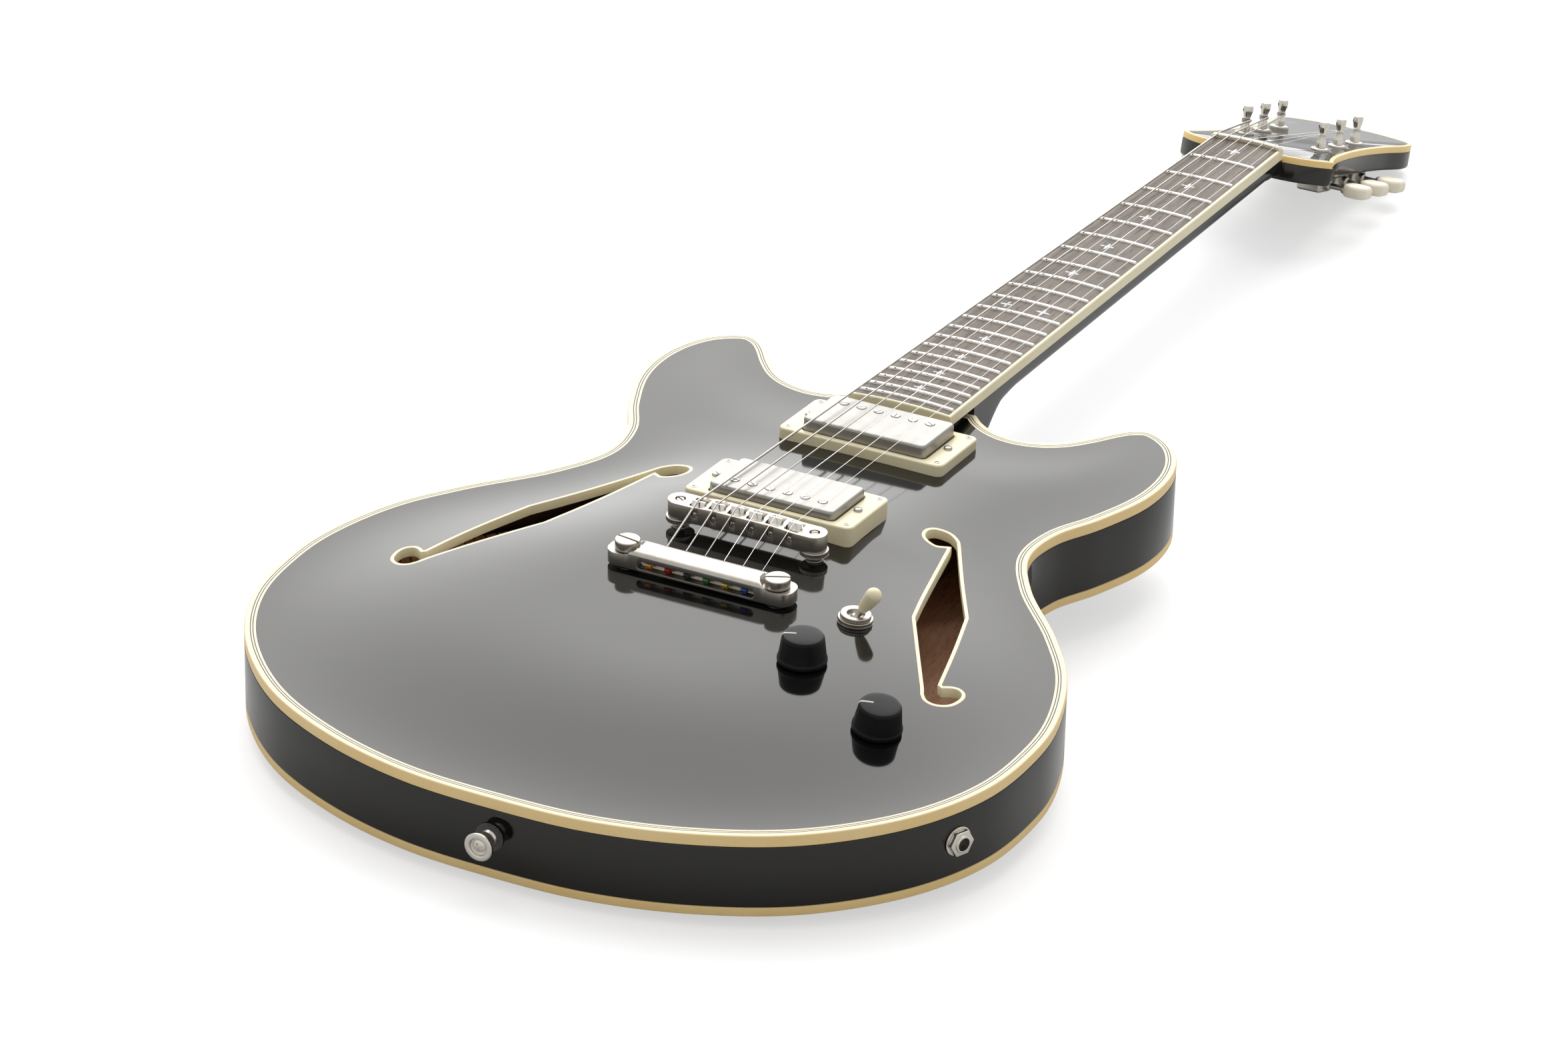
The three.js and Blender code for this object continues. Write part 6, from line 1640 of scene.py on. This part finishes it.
@dataclass
class Tailpiece:
    """The stop tailpiece on its two studs."""

    y: float = -52.1
    length: float = 101.0
    width: float = 16.0
    stud_x: float = 41.0
    ear_lift: float = 1.8
    ear_thick: float = 6.8
    hump: float = 4.2
    scoop: float = 7.25
    head_tall: float = 5.0
    slot_turns: tuple = (math.radians(-9), math.radians(26))

    @cached_property
    def seat(self) -> float:
        """Height of the arch at the studs."""
        return float(FORM.top_at(self.stud_x, self.y))

    @property
    def low(self) -> float:
        """Height of the ears' underside."""
        return self.seat + self.ear_lift

    @property
    def ear_top(self) -> float:
        """Height of the ears' top."""
        return self.seat + self.ear_lift + self.ear_thick

    @property
    def middle(self) -> float:
        """Height of the string bores."""
        return (self.low + self.ear_top) / 2

    def build(self) -> None:
        """Makes the bar and the studs."""
        self.bar()
        for (side, sign), turn in zip(SIDES.items(), self.slot_turns):
            self.stud(side, LEVEL.moved(sign * self.stud_x, self.y), turn)

    def upper(self, x: Array, y: Array) -> Array:
        """Height of the bar: a half-ellipse hump that gives way to a round hollow at each stud."""
        across = np.clip(1 - ((y - self.y) / (self.width / 2 + 0.05)) ** 2, 0, 1)
        away = np.hypot(np.abs(x) - self.stud_x, y - self.y)
        keep = ease((away - self.scoop) / 1.5) * ease((self.stud_x - np.abs(x)) / 1.2 + 0.5)
        return self.ear_top + self.hump * np.sqrt(across) * keep

    def bar(self) -> None:
        """The cast bar, with its slot for the ball ends, the string bores and the stud notches."""
        loop = respaced(rounded_rectangle(self.length, self.width - 0.6, 6.4, 12), 1.0) + [0, self.y]
        piece = sheet([loop], self.upper, lambda x, y: self.low + 0 * x, 0.9).make("tail_bar", [NICKEL], 30)
        rear = from_rear(0, self.y - self.width / 2, self.middle)
        cuts = [slab(rounded_rectangle(64.0, 4.4, 2.15, 8), -4.6, 3.0, place=rear)]
        for number in STRINGS:
            x = FORM.string_x(number, 0)
            cuts.append(tube([(x, self.y - 6.0, self.middle), (x, self.y + 12.0, self.middle)], 1.05, 16))
        carve(piece, cuts, bevel=0.4)
        under, over = self.low - 1, self.ear_top + 1
        for x in (-self.stud_x, self.stud_x):
            mouth = rounded_rectangle(6.4, 16.0, 0.1, 1) + [x, self.y + 8.0]
            carve(piece, [lathe([(3.3, under), (3.3, over)], 28, LEVEL.moved(x, self.y))])
            carve(piece, [slab(mouth, under, over + 0.2)])
        settle(piece, Slot.NICKEL, "tailpiece")

    def stud(self, side: str, place: Place, turn: float) -> None:
        """A stud: bushing, neck and a broad slotted head with a soft edge."""
        seat, low, head = self.seat, self.low, self.ear_top + 0.3
        top = head + self.head_tall
        profile = [(0.0, seat - 18.0), (3.9, seat - 18.0), (3.9, seat + 0.1), (5.4, seat + 0.1),
                   (5.4, low - 0.3), (3.0, low - 0.3), (3.0, head), (6.35, head), (6.35, head + 4.6),
                   (5.5, top), (0.0, top)]
        piece = solid(f"tail_stud_{side}", [lathe(profile, 48, place, 0.35)], [NICKEL], 38)
        carve(piece, [slot_cut(1.4, 20.0, 1.4, place.moved(z=top), turn)], 0.12, 38)
        settle(piece, Slot.NICKEL, f"tailpiece_stud_{side}")


@dataclass
class Strings:
    """Six strings from their ball ends to the tuner posts, and their wraps on the posts."""

    tail: Tailpiece
    wound: int = 3

    def build(self) -> None:
        """Makes every string with its ball end and its wrap."""
        for number, size in zip(STRINGS, STRING_SIZES):
            finish = WOUND if number <= self.wound else PLAIN
            self.line(number, size / 2, finish)
            self.wrap(number, min(size / 2, 0.42), finish)

    @staticmethod
    def wire(line: Array, radius: float, sides: int) -> Skin:
        """A skin with a round wire whose flow runs along it."""
        grid = tube(line, radius, sides)
        return Skin().grid(grid, flow=flow_of(run_along(line), 0.0, grid))

    def line(self, number: int, radius: float, finish: Finish) -> None:
        """Ball, bore, bend behind the saddle, nut and the side of the post."""
        x, middle = FORM.string_x(number, 0), self.tail.middle
        sign, tx, ty = tuner_spot(number)
        to_post = HEAD.put([tx - sign * (POST_WAIST + radius + 0.1), ty, 8.6])
        ends = [(x, -57.6, middle), (x, -43.8, middle), FORM.string_at(number, -6.8, 0.05),
                FORM.string_at(number, FORM.nut_y + 5, 0.05), tuple(to_post)]
        stretches = [np.linspace(a, b, max(int(math.dist(a, b) / 12), 2), endpoint=False)
                     for a, b in zip(ends, ends[1:])]
        skin = self.wire(np.vstack([*stretches, ends[-1:]]), radius, 12)
        lead = np.linspace((x, -57.0, middle), (x, -48.0, middle), 4)
        skin.grid(tube(lead, min(radius + 0.28, 0.85), 10))
        half = [(1.45, 0.5), (1.9, 1.2), (1.7, 1.55), (0.0, 1.55)]
        ball = [(across, -along) for across, along in half[::-1]] + half
        skin.grid(lathe(ball, 24, from_side(x, -57.6, middle), 0.2), 1)
        piece = skin.make(f"string_line_{number}", [finish, BALLS[number - 1]], 50)
        settle(piece, Slot.STEEL, f"string_{number}")

    def wrap(self, number: int, radius: float, finish: Finish) -> None:
        """Turns of the string round its post, from the side it arrives on."""
        sign, tx, ty = tuner_spot(number)
        turns = 2.6 if number <= BASS_STRINGS else 3.8
        t = np.linspace(0, 1, int(turns * 28))
        angle = sign * (QUARTER + 0.4) + sign * t * turns * WHOLE + QUARTER
        height = 9.4 - t * min(turns * 2 * radius * 1.08, 3.2)
        ring = POST_WAIST + radius * 0.85
        line = HEAD.put(np.stack([tx + ring * np.cos(angle), ty + ring * np.sin(angle), height], axis=1))
        piece = self.wire(line, radius, 10).make(f"string_wrap_{number}", [finish], 50)
        settle(piece, Slot.STEEL, body=f"tuner_post_{number}")


@dataclass
class Tuner:
    """The moving parts of one tuner."""

    number: int
    button_start: float = 19.5

    def build(self) -> None:
        """Makes the post and the button."""
        self.post()
        self.button()

    def post(self) -> None:
        """The post: a waist for the wraps, a flared shoulder, a soft top and a string hole."""
        place = HEAD.moved(*tuner_spot(self.number)[1:])
        profile = [(0.0, -20.0), (3.0, -20.0), (3.0, 4.6), (POST_WAIST, 6.4), (POST_WAIST, 10.4),
                   (3.0, 13.4), (3.0, 16.2), (2.4, 17.0), (0.0, 17.0)]
        piece = solid(f"post_{self.number}", [lathe(profile, 32, place, 0.5)], [POLISHED], 40)
        carve(piece, [tube([(-6.0, 0, 14.0), (6.0, 0, 14.0)], 0.9, 14, place.turned(0.7))], sharp=40)
        name = f"tuner_post_{self.number}"
        settle(piece, Slot.NICKEL, name, body=name)

    def button(self) -> None:
        """The button: a plump cream keystone on a nickel shaft with a collar."""
        place = shaft_place(self.number)
        up, along, out = place.axes
        half = np.array([(3.6, 0.0), (7.2, 1.6), (9.0, 6.0), (8.6, 11.5), (5.6, 14.6), (0.0, 15.0)])
        half += [0, self.button_start]
        whole = spline(np.vstack([half, mirrored(half)[1:]]), 10, closed=True)
        loop = counter_clockwise(respaced(whole, 1.1))
        stem = [(0.0, 4.2), (1.7, 4.2), *((radius, self.button_start + z) for radius, z in (
            (1.7, -2.4), (2.9, -1.6), (3.3, 0.6), (0.0, 0.8)))]
        plump = slab(loop, -3.75, 3.75, 2.6, 2.6, Place(place.origin, (along, out, up)), 6)
        piece = solid(f"button_{self.number}", [plump, (lathe(stem, 24, place, 0.4), 1)], [PALE, NICKEL], 40)
        name = f"tuner_button_{self.number}"
        settle(piece, Slot.CREAM, name, body=name)


@dataclass
class Controls:
    """Two knobs, the toggle switch, the jack and the strap buttons."""

    knobs: tuple = (("volume", 77.8, -98.7), ("tone", 133.2, -131.0))
    toggle: tuple = (81.6, -49.4)
    lean: float = math.radians(28)
    pointer_turn: float = math.radians(200)

    def build(self) -> None:
        """Makes every control."""
        for knob in self.knobs:
            self.knob(*knob)
        self.switch()
        self.lever()
        self.jack()
        self.strap_button("tail", from_rear(0, FORM.tail_y, -20.5))
        y = FORM.neck_joint + 0.3 + 8.5
        top = FORM.crown_at(y) - (BOARD_DEPTH + 0.3) / math.cos(FORM.neck_angle)
        self.strap_button("heel", leaning(FORM.neck_angle, y, top - 42.0).turned(math.pi, 0))

    def knob(self, name: str, x: float, y: float) -> None:
        """A satin black knob: a short skirt, sides that taper and a low domed top with a pointer."""
        place = FORM.seat(x, y)
        sides = [(4.6, 1.12), (12.2, 1.12), (12.2, 2.9), (11.7, 3.5), (10.3, 13.6), (9.6, 14.6)]
        dome = [(9.6 * math.cos(angle), 14.6 + 0.68 * math.sin(angle))
                for angle in np.linspace(0.1, QUARTER, 9)]
        shape = np.vstack([[(0.0, 4.2), (4.6, 4.2)], fillet(sides, 0.5, 4), dome])
        spindle = [(0.0, -12.0), (3.0, -12.0), (3.0, 4.3), (0.0, 4.3)]
        top = [(r, z + 0.05) for r, z in dome[::-1] if r > 2.0] + [(9.9, 14.3), (10.36, 13.6), (10.9, 9.6)]
        line = np.array([(r, 0.0, z) for r, z in top])
        corners = ((0, -0.55, 0), (0, 0.55, 0), (-0.15, 0.55, -0.25), (-0.15, -0.55, -0.25))
        band = place.turned(self.pointer_turn).put(np.stack([line + corner for corner in corners], axis=1))
        grids = [lathe(shape, 96, place), (lathe(spindle, 24, place), 1), (band, 2)]
        settle(solid(f"knob_cap_{name}", grids, [SATIN, STEEL, POINTER], 30), Slot.PLASTIC,
               f"knob_{name}", body=f"knob_{name}")

    def switch(self) -> None:
        """The toggle's two knurled nuts, its mouth and the case under the top."""
        place = FORM.seat(*self.toggle)
        low = [(7.4, 0.06, 0), (8.5, 0.06, 0), (8.7, 0.35, 0), (8.7, 0.45, 0.7), (8.7, 2.25, 0.7),
               (8.7, 2.35, 0), (8.5, 2.6, 0), (7.4, 2.7, 0)]
        cap = [(7.4, 0.3, 0), (7.4, 2.7, 0), (7.5, 2.75, 0), (7.7, 2.85, 0), (7.7, 2.95, 0.5),
               (7.7, 4.2, 0.5), (7.7, 4.3, 0), (7.3, 4.68, 0), (5.2, 4.7, 0), (4.55, 4.4, 0), (3.7, 1.75, 0),
               (3.65, -0.8, 0), (0.001, -1.2, 0)]
        barrel = [(0.0, -5.4), (5.8, -5.4), (5.8, 0.1), (0.0, 0.1)]
        grids = [lathe(low, 4 * 40, place), lathe(cap, 4 * 36, place),
                 lathe(barrel, 36, place.moved(z=-1.3), 0.2),
                 slab(rounded_rectangle(18.0, 26.0, 1.0, 2), -28.0, -6.6, 0.5, 0.5, place)]
        settle(solid("toggle_nuts", grids, [NICKEL], 35), Slot.NICKEL, "toggle_switch")

    def lever(self) -> None:
        """The leaning lever: a ball pivot, a thin stick and a long cream tip with a round end."""
        place = FORM.seat(*self.toggle, up=1.7).turned(self.lean, 1)
        stick = [(0.001, -2.9), (1.8, -2.3), (2.6, -1.2), (2.9, 0.0), (2.4, 1.5), (1.5, 2.3), (1.5, 8.0),
                 (0.001, 8.0)]
        end = [(4.1 * math.cos(angle), 16.9 + 4.1 * math.sin(angle)) for angle in np.linspace(0, QUARTER, 9)]
        tip = [(0.001, 5.9), (1.9, 5.9), (2.35, 6.4), (3.3, 10.0), (4.0, 15.4), *end[:-1], (0.001, 21.0)]
        grids = [(lathe(stick, 24, place, 0.5), 1), (lathe(tip, 36, place, 0.6), 0)]
        settle(solid("toggle_tip", grids, [CREAM_PALE, NICKEL], 40), Slot.CREAM,
               "toggle_lever", body="toggle_lever")

    def jack(self) -> None:
        """The output jack on the treble edge: washer, hexagonal nut and sleeve."""
        place = FORM.edge_place(-163.0, -20.5)
        washer = [(0.0, 0.06), (7.4, 0.06), (7.4, 1.0), (0.0, 1.3)]
        sleeve = [(0.0, -24.0), (4.4, -24.0), (4.4, 4.5), (4.0, 4.85), (0.0, 4.9)]
        grids = [lathe(washer, 48, place, 0.35), slab(circle(6.9, 6), 1.2, 3.9, 0.35, 0.1, place),
                 lathe(sleeve, 36, place, 0.3)]
        piece = solid("jack_socket", grids, [POLISHED], 30)
        settle(carve(piece, [lathe([(3.3, -12.0), (3.3, 9.0)], 32, place)], 0.15, 30), Slot.NICKEL, "jack")

    def strap_button(self, name: str, place: Place) -> None:
        """A strap button over its felt washer, with a cross screw sunk in its face."""
        body = [(0.0, 1.6), (4.6, 1.6), (3.7, 3.2), (3.6, 8.6), (7.3, 9.8), (7.3, 11.6), (6.6, 12.0),
                (4.7, 12.0), (4.3, 10.3), (0.0, 10.3)]
        screw = [(0.0, 9.9), (3.6, 9.9), (3.6, 10.6), (2.0, 11.5), (0.0, 11.7)]
        felt = [(0.0, 0.1), (7.0, 0.1), (7.0, 1.75), (0.0, 1.75)]
        settle(solid(f"strap_button_{name}_body", [lathe(body, 48, place, 0.45)], [POLISHED], 35),
               Slot.NICKEL, f"strap_button_{name}")
        head = solid(f"strap_screw_{name}", [lathe(screw, 24, place, 0.35)], [POLISHED], 35)
        for turn in (0.3, 0.3 + QUARTER):
            carve(head, [slot_cut(1.1, 4.6, 1.0, place.moved(z=11.7), turn)], sharp=35)
        settle(head, Slot.STEEL)
        settle(solid(f"strap_felt_{name}", [lathe(felt, 40, place, 0.5)], [FELT], 60), Slot.PLASTIC)


@dataclass(frozen=True)
class Stage:
    """The floor, the light and the camera."""

    floor_half: float = 15.0
    floor_tint: tuple = (0.62, 0.62, 0.62)
    floor_lift: float = 0.57
    eye: tuple = (1205.8, -2411.4, 1447.4)
    right: tuple = (0.8924, 0.45083, 0.01913)
    down: tuple = (0.22591, -0.40968, -0.88381)
    lens: float = 142.35
    sky_light: float = 0.62
    sky_mirror: float = 1.0
    box_spot: tuple = (-1.33, 2.3, 2.9)
    box_aim: tuple = (0.0, -0.25, 0.05)
    box_size: tuple = (5.4, 7.4)
    box_radiance: float = 2.25

    def build(self) -> None:
        """Sets the whole stage."""
        self.floor()
        self.sky()
        self.soft_box()
        self.camera()
        bpy.context.scene.view_settings.view_transform = "Standard"

    def floor(self) -> None:
        """A plain pale floor; what the camera sees of it is lifted to white."""
        mesh = bpy.data.meshes.new("floor")
        corners = [(x * self.floor_half, y * self.floor_half, 0)
                   for x, y in ((-1, -1), (1, -1), (1, 1), (-1, 1))]
        mesh.from_pydata(corners, [], [(0, 1, 2, 3)])
        bench = Bench("floor_paint")
        dull = bench.node("ShaderNodeBsdfDiffuse", None, {"Color": self.floor_tint})
        glow = bench.node("ShaderNodeEmission", None, {"Color": (1, 1, 1), "Strength": self.floor_lift})
        both = bench.node("ShaderNodeAddShader", None, {0: dull, 1: glow})
        seen = bench.node("ShaderNodeLightPath", output="Is Camera Ray")
        bench.out(bench.node("ShaderNodeMixShader", None, {0: seen, 1: dull, 2: both}))
        mesh.materials.append(bench.made)
        linked(bpy.data.objects.new("floor", mesh))

    def sky(self) -> None:
        """An even white sky, brighter in reflections than it lights."""
        world = bpy.data.worlds.new("sky")
        bpy.context.scene.world = world
        world.use_nodes = True
        tree = world.node_tree
        tree.nodes.clear()
        path, pick, back, out = (tree.nodes.new(kind) for kind in (
            "ShaderNodeLightPath", "ShaderNodeMix", "ShaderNodeBackground", "ShaderNodeOutputWorld"))
        pick.inputs[2].default_value = self.sky_mirror
        pick.inputs[3].default_value = self.sky_light
        tree.links.new(path.outputs["Is Diffuse Ray"], pick.inputs[0])
        tree.links.new(pick.outputs[0], back.inputs["Strength"])
        tree.links.new(back.outputs[0], out.inputs["Surface"])

    def soft_box(self) -> None:
        """One tall soft panel that leans over the guitar from behind, unseen by the camera."""
        data = bpy.data.lights.new("soft_box", "AREA")
        data.shape = "RECTANGLE"
        data.size, data.size_y = self.box_size
        data.energy = self.box_radiance * math.prod(self.box_size) * math.pi
        lamp = linked(bpy.data.objects.new("soft_box", data))
        lamp.location = self.box_spot
        aim = Vector(self.box_aim) - Vector(self.box_spot)
        lamp.rotation_euler = aim.to_track_quat("-Z", "Y").to_euler()
        lamp.visible_camera = False

    def camera(self) -> None:
        """The photograph's view, worked out in the guitar's frame."""
        here = lay_down(np.zeros(3))
        right, down = (unit(lay_down(axis) - here) for axis in (self.right, self.down))
        back = unit(np.cross(right, -down))
        data = bpy.data.cameras.new("view")
        data.sensor_width, data.lens, data.clip_end = 36.0, self.lens, 100.0
        camera = linked(bpy.data.objects.new("view", data))
        columns = np.column_stack([right, np.cross(back, right), back, lay_down(self.eye)])
        camera.matrix_world = Matrix([*columns.tolist(), [0, 0, 0, 1]])
        bpy.context.scene.camera = camera


def refinish(node: str, finish: Finish) -> None:
    """Gives a kept CAD node a better finish in its material slots."""
    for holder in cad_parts[node].material_slots:
        holder.material = finish.material()


def main() -> None:
    """Builds the guitar and its stage."""
    tail = Tailpiece()
    parts = [
        Shell(), Neck(),
        Pickup("neck", 143.5, 8.0, 6.7, 1), Pickup("bridge", 39.1, 3.3, 4.5, -1),
        Bridge(), tail, Strings(tail), *(Tuner(number) for number in STRINGS), Controls(), Stage(),
    ]
    for part in parts:
        part.build()
    refinish("centre_block", BLOCK)
    for name in ("volume", "tone"):
        refinish(f"pot_{name}", NICKEL)


if __name__ == "__main__":
    main()
